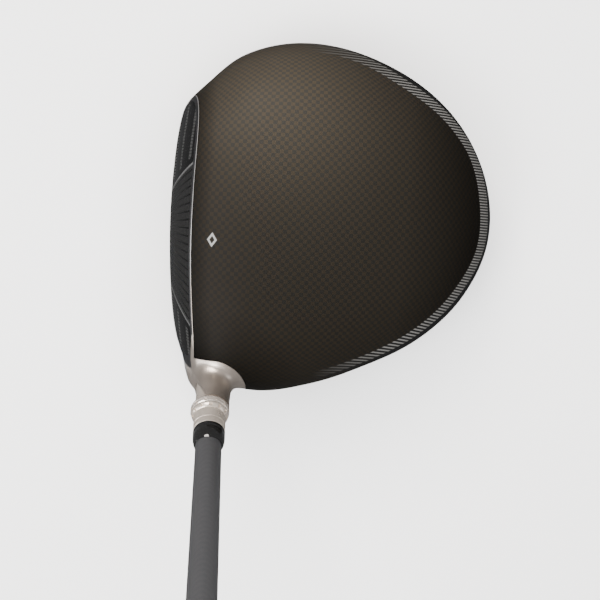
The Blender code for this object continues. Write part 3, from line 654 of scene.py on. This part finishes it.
half = math_node(tree, "ADD", math_node(tree, "MULTIPLY", up, BORDER_SPLAY), BORDER)
side = math_node(tree, "ABSOLUTE", from_fan)
edge = math_node(tree, "SUBTRACT", side, half)
middle = spread(tree, edge, -0.0003, 0.0001, 1.0, 0.0)
border = spread(tree, off_by(tree, edge, 0.0005), 0.0003, 0.0006, 1.0, 0.0)
STRIP_PITCH = 0.016
strip_phase = math_node(tree, "DIVIDE", math_node(tree, "SUBTRACT", up, 0.002), STRIP_PITCH / 2)
strip = spread(tree, math_node(tree, "PINGPONG", strip_phase, 1.0), 0.20, 0.26, 1.0, 0.0)
groove = math_node(tree, "PINGPONG", math_node(tree, "DIVIDE", across, 0.0011), 0.5)
strip = math_node(tree, "MULTIPLY", strip, spread(tree, groove, 0.1, 0.2, 0.45, 1.0),
                  spread(tree, edge, 0.0030, 0.0036),
                  spread(tree, side, 0.0490, 0.0500, 1.0, 0.0))
lines = math_node(tree, "MAXIMUM", fan_line, row_line)
printed = math_node(tree, "MULTIPLY", middle, math_node(tree, "SUBTRACT", 1.0, lines, clamp=True))
tint = mix_colour(tree, printed, (0.0015, 0.0015, 0.0016), (0.0135, 0.0134, 0.0133))
tint = mix_colour(tree, strip, tint, (0.030, 0.030, 0.030))
tint = mix_colour(tree, border, tint, (0.065, 0.065, 0.065))
tree.links.new(tint, shader.inputs["Base Color"])
marked = math_node(tree, "ADD", printed, strip, border, clamp=True)
tree.links.new(spread(tree, marked, 0.0, 1.0, 0.14, 0.34), shader.inputs["Roughness"])
bump(tree, math_node(tree, "ADD", printed, border), shader, 0.2, 0.00004)
finish_piece(face_cover, "head", ["face_cover"], film)

# ---- Rear ring ---------------------------------------------------------------------------
# The back of the head is a thin aluminium ring that joins crown and sole. It is machined,
# anodised black, and has a threaded pocket for the rear weight.
LEDGE = 0.006
ring = head_skin("rear_ring", 0.0, 256, 160)
cut(ring, box("ring_zone", (CHASSIS_EDGE + JOINT, -FAR, SOLE_SEAM - LEDGE),
              (FAR, FAR, CROWN_SEAM + LEDGE)), "INTERSECT")
cut(ring, head_skin("ring_hollow", WALL, 128, 64))
boss = rod("rear_boss", rear_port, REAR_BOSS - 0.0003, -0.0144, 0.02, 96)
cut(boss, head_skin("boss_skin", 0.0001, 128, 64), "INTERSECT")
cut(ring, boss, "UNION")
cut(ring, crown_space("ring_top", JOINT, CROWN_PANEL + JOINT))
cut(ring, sole_space("ring_under", JOINT, SOLE_PANEL + JOINT))
cut(ring, rod("rear_pocket", rear_port, 0.0071, -0.0069, 0.02))
cut(ring, rod("rear_thread", rear_port, THREAD_HOLE, -0.0124, -0.0060))
anodised = metal("black_anodised", (0.030, 0.030, 0.032), (0.018, 0.018, 0.019), 0.26, 0.40, 1200)
finish_piece(ring, "head", ["skirt_ring"], anodised)

# ---- Crown -------------------------------------------------------------------------------
# The crown is a moulded sheet of woven carbon under a satin warm-tinted clear coat, glued
# into a recess. A printed band of short hatch marks follows its back edge.
crown = head_skin("crown_shell", 0.0, 256, 200)
cut(crown, crown_space("crown_zone", 0.0, CROWN_PANEL), "INTERSECT")

WEAVE = 0.00140                 # side of one square of the weave
BAND_MIDDLE = ((-90, 0.906), (-60, 0.915), (-45, 0.912), (-20, 0.918), (-5, 0.934), (10, 0.936),
               (25, 0.953), (35, 0.945), (55, 0.930), (70, 0.948), (90, 0.963), (100, 0.965))
BAND_HALF = 0.027               # half the band's width, as a share of the reach
HATCH_TILT = ((-0.070, 0.55), (-0.045, 0.45), (-0.020, 0.22), (0.0, 0.06), (0.065, 0.02))


def paint_coordinates(piece):
    """Store where each corner lies on the skin: flattened weave plan, band and hatch."""
    mesh = piece.data
    weave_map = mesh.uv_layers.new(name="weave")
    band = mesh.attributes.new("band", "FLOAT", "POINT")
    hatch = mesh.attributes.new("hatch", "FLOAT", "POINT")
    along = mesh.attributes.new("along", "FLOAT", "POINT")
    plan = []
    for vert in mesh.vertices:
        x, y = vert.co.xy
        angle = math.degrees(math.atan2(y, x))
        reach = rim_reach(angle)
        share = math.hypot(x, y) / reach
        stretch = 1 + 0.30 * share**6
        plan.append((x * stretch, y * stretch))
        middle = smooth_curve(BAND_MIDDLE, angle)
        band.data[vert.index].value = (share - middle) / BAND_HALF
        tilt = smooth_curve(HATCH_TILT, y)
        rim_x = reach * math.cos(math.radians(angle))
        hatch.data[vert.index].value = y + math.tan(tilt) * (x - rim_x * 0.93)
        along.data[vert.index].value = angle
    for loop in mesh.loops:
        weave_map.data[loop.index].uv = plan[loop.vertex_index]


paint_coordinates(crown)

# Plain weave of fibre bundles, shared by the crown and the sole: over-and-under squares with
# fine fibres across them.
weave_cloth, weave_in, weave_out = group(
    "carbon_weave",
    [("Vector", "NodeSocketVector", (0, 0, 0)), ("Size", "NodeSocketFloat", WEAVE)],
    [("Square", "NodeSocketFloat"), ("Height", "NodeSocketFloat"), ("Fibre", "NodeSocketFloat")])
parts_of = weave_cloth.nodes.new("ShaderNodeSeparateXYZ")
weave_cloth.links.new(weave_in.outputs["Vector"], parts_of.inputs[0])
column = math_node(weave_cloth, "DIVIDE", parts_of.outputs["X"], weave_in.outputs["Size"])
row = math_node(weave_cloth, "DIVIDE", parts_of.outputs["Y"], weave_in.outputs["Size"])
odd = math_node(weave_cloth, "ADD", math_node(weave_cloth, "FLOOR", column),
                math_node(weave_cloth, "FLOOR", row))
square = math_node(weave_cloth, "FLOORED_MODULO", odd, 2.0)
hump_x = math_node(weave_cloth, "PINGPONG", column, 0.5)
hump_y = math_node(weave_cloth, "PINGPONG", row, 0.5)
hump = math_node(weave_cloth, "MINIMUM", hump_x, hump_y)
hump = spread(weave_cloth, hump, 0.0, 0.22)
fibre_x = math_node(weave_cloth, "PINGPONG", math_node(weave_cloth, "MULTIPLY", column, 9.0), 0.5)
fibre_y = math_node(weave_cloth, "PINGPONG", math_node(weave_cloth, "MULTIPLY", row, 9.0), 0.5)
fibre_mix = weave_cloth.nodes.new("ShaderNodeMix")
weave_cloth.links.new(square, fibre_mix.inputs[0])
weave_cloth.links.new(fibre_x, fibre_mix.inputs[2])
weave_cloth.links.new(fibre_y, fibre_mix.inputs[3])
weave_cloth.links.new(square, weave_out.inputs["Square"])
weave_cloth.links.new(hump, weave_out.inputs["Height"])
weave_cloth.links.new(fibre_mix.outputs[0], weave_out.inputs["Fibre"])

lacquer, tree, shader = plain("crown_weave_lacquer", (0.045, 0.038, 0.030), 0.50, 0.0,
                              Specular_IOR_Level=0.06)
uv = tree.nodes.new("ShaderNodeUVMap")
uv.uv_map = "weave"
cloth = use_group(tree, weave_cloth, vector=uv.outputs["UV"], size=WEAVE)
warm = mix_colour(tree, noise(tree, 35.0), (1.12, 0.88, 0.60), (1.26, 1.0, 0.70))
tint = mix_colour(tree, cloth.outputs["Square"], (0.78, 0.72, 0.61), warm)
threads = math_node(tree, "MULTIPLY", cloth.outputs["Fibre"], 0.25)
tint = mix_colour(tree, threads, tint, (0.40, 0.36, 0.30))
# The lacquer's colour carries painted light and shade: a soft painted glow, lightest near the toe,
# and painted shade round the hosel and towards the back. It is also darker along the face.
across, up, depth, split = behind_face(tree)
# Centre and size of the painted glow near the toe.
PAINTED_GLOW_CENTRE = (-0.010, 0.048)
PAINTED_GLOW_SIZE = 0.026
glow_distance = seen_distance(tree, split, *PAINTED_GLOW_CENTRE)
painted_glow = math_node(tree, "EXPONENT", math_node(tree, "MULTIPLY", glow_distance, glow_distance, -1 / (2 * PAINTED_GLOW_SIZE**2)))
near = seen_distance(tree, split, HOSEL_RIM.x, HOSEL_RIM.y)
# light is the painted glow times the painted shade; it scales the weave's colour.
light = math_node(tree, "MULTIPLY", spread(tree, painted_glow, 0.0, 1.0, 0.0082, 0.0275),
                  spread(tree, near, 0.010, 0.034, 0.35, 1.0),
                  spread(tree, depth, 0.0005, 0.0060, 0.45, 1.0),
                  spread(tree, split.outputs["X"], 0.036, 0.066, 1.0, 0.3))
tint = mix_colour(tree, light, (0.0, 0.0, 0.0), tint)

inside = math_node(tree, "ABSOLUTE", attribute(tree, "band"))
on_band = spread(tree, inside, 0.96, 1.04, 1.0, 0.0)
HATCH_PITCH = 0.00098
teeth = math_node(tree, "DIVIDE", attribute(tree, "hatch"), HATCH_PITCH)
tooth = spread(tree, math_node(tree, "PINGPONG", teeth, 0.5), 0.24, 0.34)
angle = attribute(tree, "along")
fade_toe = spread(tree, angle, 55.0, 92.0, 1.0, 0.0)
fade_heel = spread(tree, angle, -80.0, -50.0, 0.0, 1.0)
fade = math_node(tree, "MULTIPLY", fade_toe, fade_heel)
ground = math_node(tree, "MULTIPLY", spread(tree, attribute(tree, "band"), -1.02, -0.96), fade)
tint = mix_colour(tree, ground, tint, (0.006, 0.006, 0.006))
mark = math_node(tree, "MULTIPLY", on_band, tooth, fade)
tint = mix_colour(tree, mark, tint, (0.10, 0.097, 0.092))

# A plain sighting mark: a small open diamond behind the middle of the face.
SIGHT = (-0.0290, -0.0065)
SIGHT_SIZE = 0.0019
SIGHT_SLIM = 1.5                 # how much narrower it is from face to back
mark_x = math_node(tree, "MULTIPLY", off_by(tree, split.outputs["X"], SIGHT[0]), SIGHT_SLIM)
mark_y = off_by(tree, split.outputs["Y"], SIGHT[1])
rim = off_by(tree, math_node(tree, "ADD", mark_x, mark_y), SIGHT_SIZE)
sight = spread(tree, rim, 0.00050, 0.00065, 1.0, 0.0)
tint = mix_colour(tree, sight, tint, (0.20, 0.20, 0.195))
tree.links.new(tint, shader.inputs["Base Color"])
relief = math_node(tree, "ADD", cloth.outputs["Height"],
                   math_node(tree, "MULTIPLY", cloth.outputs["Fibre"], 0.3))
bump(tree, relief, shader, 0.12, 0.00003)
finish_piece(crown, "head", ["crown_panel"], lacquer)

# ---- Sole --------------------------------------------------------------------------------
# The sole is a second carbon sheet, glued under the ring and the chassis. It is the same
# weave, darker and scuffed by the ground, with two painted lines that follow its edge.
sole = head_skin("sole_shell", 0.0, 256, 200)
cut(sole, sole_space("sole_zone", 0.0, SOLE_PANEL), "INTERSECT")
cut(sole, box("sole_flat", (-FAR, -FAR, -FAR), (FAR, FAR, 0.0)))

sole_lacquer, tree, shader = plain("sole_weave_lacquer", (0.02, 0.02, 0.02), 0.30, 0.0,
                                   Coat_Weight=0.4, Coat_Roughness=0.12)
SOLE_WEAVE = WEAVE * 1.6
cloth = use_group(tree, weave_cloth, vector=here(tree), size=SOLE_WEAVE)
tint = mix_colour(tree, cloth.outputs["Square"], (0.014, 0.014, 0.015), (0.026, 0.026, 0.027))
threads = math_node(tree, "MULTIPLY", cloth.outputs["Fibre"], 0.4)
tint = mix_colour(tree, threads, tint, (0.008, 0.008, 0.008))
level = split_here(tree).outputs["Z"]
LINE_HEIGHT = 0.0105
LINE_STEP = 0.0012
pinstripe = spread(tree, off_by(tree, level, LINE_HEIGHT), 0.00025, 0.00035, 1.0, 0.0)
second = off_by(tree, level, LINE_HEIGHT - LINE_STEP)
thin_stripe = spread(tree, second, 0.00010, 0.00020, 1.0, 0.0)
tint = mix_colour(tree, math_node(tree, "MAXIMUM", pinstripe, thin_stripe), tint,
                  (0.20, 0.19, 0.175))
stretch = tree.nodes.new("ShaderNodeMapping")
stretch.inputs["Scale"].default_value = (0.6, 9.0, 1.0)
tree.links.new(here(tree), stretch.inputs["Vector"])
scuffs = noise(tree, 40.0, 6.0, stretch.outputs["Vector"])
worn = math_node(tree, "MULTIPLY", spread(tree, scuffs, 0.58, 0.72),
                 spread(tree, level, 0.0, 0.006, 1.0, 0.0))
tree.links.new(mix_colour(tree, math_node(tree, "MULTIPLY", worn, 0.5), tint, (0.07, 0.07, 0.07)),
               shader.inputs["Base Color"])
tree.links.new(spread(tree, worn, 0.0, 1.0, 0.28, 0.55), shader.inputs["Roughness"])
bump(tree, cloth.outputs["Height"], shader, 0.10, 0.00003)
finish_piece(sole, "head", ["sole_panel"], sole_lacquer)

# ---- Slot insert -------------------------------------------------------------------------
# A soft polyurethane strip fills the slot behind the face, so the slot can flex and stays
# clean. It is moulded with a row of shallow ribs and pressed in with glue.
INSERT_SET_IN = 0.0005          # how far the strip lies below the skin
INSERT_DEPTH = 0.0034
RIBS = 24
RIB_RADIUS = 0.0004


def skin_floor(x, y, inset):
    """Lowest height of the skin's sample points near a place seen from above."""
    angle = math.degrees(math.atan2(y, x))
    points = [head_point(angle, climb, inset) for climb in range(-89, -20, 2)]
    return min(point.z for point in points
               if abs(point.xy.length - math.hypot(x, y)) < 0.0015)


insert_low, insert_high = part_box("slot_insert")
insert_length = insert_high.x - insert_low.x
insert_middle = (insert_low.x + insert_high.x) / 2
bm = bmesh.new()
bmesh.ops.create_cube(bm, size=1.0)
bmesh.ops.scale(bm, vec=(insert_length, insert_high.y - insert_low.y, 0.03), verts=bm.verts)
bmesh.ops.translate(bm, vec=(insert_middle, (insert_low.y + insert_high.y) / 2, 0.01),
                    verts=bm.verts)
bmesh.ops.bevel(bm, geom=bm.edges[:], affect="EDGES", offset=0.0006, segments=3, profile=0.5,
                material=-1)
insert = new_piece("slot_strip", bm)
cut(insert, head_skin("insert_skin", INSERT_SET_IN, 192, 120), "INTERSECT")
cut(insert, head_skin("insert_top", INSERT_DEPTH, 128, 64))
for k in range(1, RIBS):
    rib_y = insert_low.y + (insert_high.y - insert_low.y) * k / RIBS
    start = Vector((insert_low.x, rib_y, skin_floor(insert_middle, rib_y, INSERT_SET_IN)))
    cut(insert, rod("groove", frame_along(start, Vector((1, 0, 0))), RIB_RADIUS, -0.001,
                    insert_length + 0.001, 8))

polymer, tree, shader = plain("slot_polymer", (0.10, 0.10, 0.105), 0.6, 0.0)
dust = noise(tree, 300.0, 5.0)
tree.links.new(mix_colour(tree, dust, (0.055, 0.055, 0.058), (0.10, 0.10, 0.105)),
               shader.inputs["Base Color"])
tree.links.new(spread(tree, dust, 0.3, 0.7, 0.5, 0.75), shader.inputs["Roughness"])
bump(tree, dust, shader, 0.2, 0.00003)
finish_piece(insert, "head", ["slot_insert"], polymer)

# ---- Weights and their screws ------------------------------------------------------------
# Two round slugs tune the head's balance: steel behind the face, tungsten at the back. Each
# is turned, satin finished, marked by three small dimples, and held by its own star screw.
STAR_POINTS = 6


def slug(name, port, top, radius, length, body, node, paint):
    """Turned weight with a counterbored hole, an engraved ring and dimples in its face."""
    outer = [(0.0037, top), (radius * 0.72, top), (radius * 0.74, top - 0.0002),
             (radius * 0.78, top - 0.0002), (radius * 0.80, top), (radius - 0.0005, top),
             (radius - 0.0001, top - 0.0002), (radius, top - 0.0006), (radius, top - length),
             (0.0022, top - length), (0.0022, top - 0.0027), (0.0037, top - 0.0027)]
    made = turned(name, port, outer, 96, closed=True)
    for k in range(3):
        turn = 2 * math.pi * k / 3
        spot = port @ Matrix.Translation((math.cos(turn) * radius * 0.89,
                                          math.sin(turn) * radius * 0.89, top))
        cut(made, rod(name + "_dimple", spot, 0.0003, -0.0002, 0.001, 16))
    return finish_piece(made, body, [node], paint)


def star_tool(name, place, radius, low, high):
    """Six-lobed driver socket as a solid: a rod whose wall swells in six lobes."""
    tool = rod(name, Matrix.Identity(4), radius, low, high, 48)
    for vert in tool.data.vertices:
        turn = math.atan2(vert.co.y, vert.co.x)
        lobe = 0.88 + 0.12 * math.cos(STAR_POINTS * turn)
        vert.co.x *= lobe
        vert.co.y *= lobe
    tool.data.transform(place)
    return tool


def star_screw(name, place, top, head, under, radius, tip, socket, pitch, body, node, paint):
    """Screw with a rounded head, a star socket and a thread cut as rings of its pitch."""
    profile = [(0, top), (head - 0.0007, top), (head - 0.0003, top - 0.0001),
               (head - 0.0001, top - 0.0003), (head, top - 0.0006), (head, under),
               (radius, under)]
    along = under - pitch
    while along - pitch > tip + 0.0004:
        profile += [(radius, along), (radius - pitch * 0.4, along - pitch * 0.35),
                    (radius - pitch * 0.4, along - pitch * 0.45), (radius, along - pitch * 0.8)]
        along -= pitch
    profile += [(radius, tip + 0.0006), (radius - 0.0006, tip), (0, tip)]
    made = turned(name, place, profile, 64)
    cut(made, star_tool(name + "_socket", place, socket, top - (top - under) * 0.6, top + 0.01))
    return finish_piece(made, body, [node], paint)


steel_slug = metal("satin_steel", (0.46, 0.46, 0.47), (0.36, 0.36, 0.37), 0.24, 0.38, 700)
tungsten = metal("brushed_tungsten", (0.34, 0.33, 0.32), (0.25, 0.245, 0.24), 0.26, 0.42, 700)
screw_steel = metal("zinc_screw", (0.52, 0.52, 0.53), (0.38, 0.38, 0.39), 0.18, 0.30, 900)
dark_screw = metal("black_oxide_screw", (0.10, 0.10, 0.105), (0.05, 0.05, 0.052), 0.25, 0.40, 900)
slug("front_slug_weight", front_port, -0.0012, 0.0062, 0.0042, "front_slug", "front_weight",
     steel_slug)
slug("rear_slug_weight", rear_port, -0.0006, 0.0068, 0.0060, "rear_slug", "rear_weight", tungsten)
star_screw("front_slug_screw", front_port, -0.0014, 0.0034, -0.0036, 0.0019, -0.0100, 0.0017,
           0.0007, "front_screw", "front_weight_screw", screw_steel)
star_screw("rear_slug_screw", rear_port, -0.0008, 0.0034, -0.0030, 0.0019, -0.0111, 0.0017,
           0.0007, "rear_screw", "rear_weight_screw", screw_steel)

# ---- Loft sleeve and what holds it -------------------------------------------------------
# The shaft is glued into a machined aluminium sleeve that stands one degree out of true, so
# turning it changes the loft. An indexed ring shows the setting; one screw from below holds it.
SHAFT_LIE = math.radians(58.0)
BEND_DEPTH = 0.012
shaft_up = Vector((0, -math.cos(SHAFT_LIE), math.sin(SHAFT_LIE)))
bend_point = HOSEL_RIM - hosel_up * BEND_DEPTH
shaft_axis = frame_along(bend_point, shaft_up)
BARREL_BASE = 0.0151
BARREL_TOP = 0.0227
TIP_BORE = 0.00445
INDEX_MARKS = 12
INDEX_STEP = 2 * math.pi / INDEX_MARKS


def notch(piece, turn, radius, height, low, high):
    """Cut a small block out of a round piece, at a turn about the hosel's axis."""
    tool = box("notch", low, high)
    tool.data.transform(hosel @ Matrix.Rotation(turn, 4, "Z")
                        @ Matrix.Translation((radius, 0, height)))
    cut(piece, tool)


sleeve = turned("sleeve", hosel, [
    (0, 0.0045), (0.0053, 0.0045), (0.0056, 0.0043), (0.0061, 0.0036), (0.0062, 0.0033),
    (0.0062, 0.0029), (0.0050, 0.0029), (0.0050, -0.0374), (0.0044, -0.0380), (0, -0.0380)])
barrel = turned("barrel", shaft_axis, [
    (0, BARREL_TOP), (0.0052, BARREL_TOP), (0.0053, BARREL_TOP - 0.0001),
    (0.00525, BARREL_TOP - 0.0024), (0.00535, BARREL_TOP - 0.0025),
    (0.00535, BARREL_TOP - 0.0029), (0.00525, BARREL_TOP - 0.0030), (0.0055, BARREL_BASE),
    (0, BARREL_BASE)])
cut(sleeve, barrel, "UNION")
cut(sleeve, rod("shaft_bore", shaft_axis, TIP_BORE, -0.0153, 0.06))
cut(sleeve, rod("screw_bore", hosel, 0.0028, -0.048, -0.0286))
for k in range(INDEX_MARKS):
    half = 0.0006 if k % 3 == 0 else 0.00035
    notch(sleeve, INDEX_STEP * k, 0.0060, 0.0037, (-0.0005, -half, -0.0003),
          (0.0005, half, 0.0012))

champagne = metal("champagne_anodised", (0.72, 0.64, 0.56), (0.66, 0.585, 0.51), 0.24, 0.36, 1500,
                  metallic=0.78)
finish_piece(sleeve, "club", ["loft_sleeve"], champagne, 30)

ring_profile = [(0.0061, 0.0026), (0.0064, 0.0024), (0.0065, 0.0021), (0.0065, 0.0014),
                (0.0064, 0.0013), (0.0065, 0.0012), (0.0065, 0.0008), (0.0064, 0.0004),
                (0.0061, 0.0003), (0.0052, 0.0003), (0.0052, 0.0026)]
index_ring = turned("loft_ring", hosel, ring_profile, 144, closed=True)
for k in range(INDEX_MARKS):
    notch(index_ring, INDEX_STEP * (k + 0.5), 0.0065, 0.0020, (-0.0003, -0.0003, -0.0002),
          (0.0003, 0.0003, 0.0010))
ring_metal = metal("polished_champagne", (0.74, 0.67, 0.60), (0.68, 0.61, 0.545), 0.20, 0.30,
                   1500, metallic=0.78)
finish_piece(index_ring, "index", ["index_ring"], ring_metal, 30)

ferrule = turned("black_ferrule", shaft_axis, [
    (0.00445, 0.0295), (0.0045, 0.0295), (0.0048, 0.0290), (0.0050, 0.0284), (0.0052, 0.0274),
    (0.0053, 0.0262), (0.0053, 0.0250), (0.00525, 0.0249), (0.00525, 0.0246), (0.0053, 0.0245),
    (0.0053, 0.0236), (0.0052, 0.0230), (0.00445, 0.0230)], 96, closed=True)
ferrule_black, tree, shader = plain("ferrule_black", (0.006, 0.006, 0.006), 0.10, 0.0,
                                    Coat_Weight=0.8, Coat_Roughness=0.05)
tree.links.new(spread(tree, noise(tree, 400.0), 0.3, 0.7, 0.08, 0.16),
               shader.inputs["Roughness"])
finish_piece(ferrule, "club", ["ferrule"], ferrule_black)

star_screw("loft_screw", frame_along(HOSEL_RIM, -hosel_up), 0.0666, 0.0041, 0.0626, 0.0025,
           0.0289, 0.0022, 0.0008, "screw", "sleeve_screw", dark_screw)
washer = turned("loft_washer", hosel, [
    (0.0029, -0.0608), (0.0042, -0.0608), (0.0044, -0.0610), (0.0044, -0.0621),
    (0.0042, -0.0623), (0.0029, -0.0623)], 64, closed=True)
finish_piece(washer, "washer", ["screw_washer"], screw_steel)

# ---- Shaft -------------------------------------------------------------------------------
# A tapered tube of wrapped graphite, ground, sealed in grey and clear coated. A brass plug
# is glued in its tip, and the grip end is wrapped in double-sided tape.
TIP_RADIUS = 0.0043
BUTT_RADIUS = 0.0076
SHAFT_WALL = 0.0011
GRIP_START = 0.82595
SHAFT_END = 1.09365
TAPER_START = 0.0295
SHAFT_BOTTOM = -0.0150
stations = [SHAFT_END, GRIP_START]
stations += [GRIP_START + (TAPER_START - GRIP_START) * k / 24 for k in range(1, 25)]
stations.append(SHAFT_BOTTOM)


def tube_radius(along):
    """Outer radius of the shaft: parallel tip, then an even taper up to the grip."""
    share = min(max((along - TAPER_START) / (GRIP_START - TAPER_START), 0.0), 1.0)
    return TIP_RADIUS + (BUTT_RADIUS - TIP_RADIUS) * share


shaft_profile = [(tube_radius(along), along) for along in stations]
shaft_profile += [(tube_radius(along) - SHAFT_WALL, along) for along in reversed(stations)]
shaft = turned("graphite_shaft", shaft_axis, shaft_profile, 96, closed=True)
shaft_paint, tree, shader = plain("shaft_grey", (0.20, 0.20, 0.205), 0.34, 0.15,
                                  Coat_Weight=0.5, Coat_Roughness=0.15)
WRAP_PITCH = 0.0009
turn_to_shaft = tree.nodes.new("ShaderNodeMapping")
turn_to_shaft.inputs["Rotation"].default_value = (math.radians(90.0) - SHAFT_LIE, 0, 0)
tree.links.new(here(tree), turn_to_shaft.inputs["Vector"])
rings = tree.nodes.new("ShaderNodeSeparateXYZ")
tree.links.new(turn_to_shaft.outputs["Vector"], rings.inputs[0])
wrap = math_node(tree, "PINGPONG", math_node(tree, "DIVIDE", rings.outputs["Z"], WRAP_PITCH), 0.5)
tone = math_node(tree, "ADD", math_node(tree, "MULTIPLY", wrap, 0.5),
                 math_node(tree, "MULTIPLY", noise(tree, 1800.0), 0.5))
tree.links.new(mix_colour(tree, tone, (0.030, 0.030, 0.032), (0.048, 0.048, 0.050)),
               shader.inputs["Base Color"])
tree.links.new(spread(tree, tone, 0.2, 0.8, 0.28, 0.40), shader.inputs["Roughness"])
bump(tree, wrap, shader, 0.05, 0.00002)
finish_piece(shaft, "club", ["shaft"], shaft_paint)

# ---- Grip --------------------------------------------------------------------------------
# A slip-on rubber grip moulded over its own taper, with bands of small grooves that wrap
# round it, a plain collar at the mouth, and a separate cap with a vent hole.
GRIP_MOUTH_RADIUS = 0.0098
GRIP_END_RADIUS = 0.0133
GRIP_BORE = 0.0086
BUTT = 1.09795
GROOVES = 92
GROOVE_DEPTH = 0.0004
BANDS = 14
grip_profile = []
grip_length = SHAFT_END - GRIP_START
for k in range(GROOVES * 4):
    share = 1 - k / (GROOVES * 4)
    along = GRIP_START + grip_length * share
    radius = GRIP_MOUTH_RADIUS + (GRIP_END_RADIUS - GRIP_MOUTH_RADIUS) * share
    banded = 0.07 < share < 0.97 and int(share * BANDS) % 2 == 0
    sunk = GROOVE_DEPTH if banded and k % 4 in (1, 2) else 0.0
    grip_profile.append((radius - sunk, along))
grip_profile += [(GRIP_MOUTH_RADIUS, GRIP_START + 0.0008),
                 (GRIP_MOUTH_RADIUS - 0.0002, GRIP_START + 0.0002),
                 (GRIP_MOUTH_RADIUS - 0.0008, GRIP_START),
                 (GRIP_BORE, GRIP_START), (GRIP_BORE, SHAFT_END)]
grip = turned("rubber_grip", shaft_axis, grip_profile, 80, closed=True)
rubber, tree, shader = plain("grip_rubber", (0.018, 0.018, 0.019), 0.7, 0.0)
pebble = tree.nodes.new("ShaderNodeTexVoronoi")
pebble.inputs["Scale"].default_value = 700.0
tree.links.new(here(tree), pebble.inputs["Vector"])
smudge = noise(tree, 25.0, 5.0)
tree.links.new(mix_colour(tree, smudge, (0.012, 0.012, 0.013), (0.028, 0.027, 0.026)),
               shader.inputs["Base Color"])
tree.links.new(spread(tree, smudge, 0.3, 0.7, 0.55, 0.78), shader.inputs["Roughness"])
bump(tree, pebble.outputs["Distance"], shader, 0.4, 0.00008)
finish_piece(grip, "club", ["grip_sleeve"], rubber)

cap = turned("grip_end_cap", shaft_axis, [
    (0, BUTT - 0.0012), (0.0009, BUTT - 0.0012), (0.0011, BUTT), (0.0085, BUTT),
    (0.0088, BUTT - 0.0003), (0.0094, BUTT - 0.0003), (0.0097, BUTT),
    (GRIP_END_RADIUS - 0.0014, BUTT), (GRIP_END_RADIUS - 0.0006, BUTT - 0.0003),
    (GRIP_END_RADIUS - 0.0001, BUTT - 0.0009), (GRIP_END_RADIUS, BUTT - 0.0015),
    (GRIP_END_RADIUS, BUTT - 0.0040), (0, BUTT - 0.0040)], 80)
finish_piece(cap, "club", ["grip_cap"], rubber)

# ---- Hidden pieces -----------------------------------------------------------------------
# The plug, tape, screw collar and face plate keep their solids and only take their finish:
# raw brass, paper tape, black rubber and pressed carbon.
brass = metal("raw_brass", (0.60, 0.43, 0.19), (0.45, 0.31, 0.13), 0.28, 0.45, 600)


def mottled(name, light, dark, rough, scale):
    """Dull material whose colour and relief vary finely."""
    paint, tree, shader = plain(name, light, rough, 0.0)
    specks = noise(tree, scale, 4.0)
    tree.links.new(mix_colour(tree, specks, dark, light), shader.inputs["Base Color"])
    bump(tree, specks, shader, 0.3, 0.00005)
    return paint


for node_name, paint in (
        ("tip_plug", brass),
        ("grip_tape", mottled("paper_tape", (0.76, 0.73, 0.63), (0.66, 0.62, 0.52), 0.85, 500)),
        ("screw_retainer", mottled("collar_rubber", (0.04, 0.04, 0.04), (0.02, 0.02, 0.02), 0.7,
                                   700)),
        ("face_plate", mottled("pressed_carbon", (0.035, 0.035, 0.037), (0.018, 0.018, 0.019),
                               0.4, 900))):
    for material_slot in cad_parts[node_name].material_slots:
        material_slot.material = paint
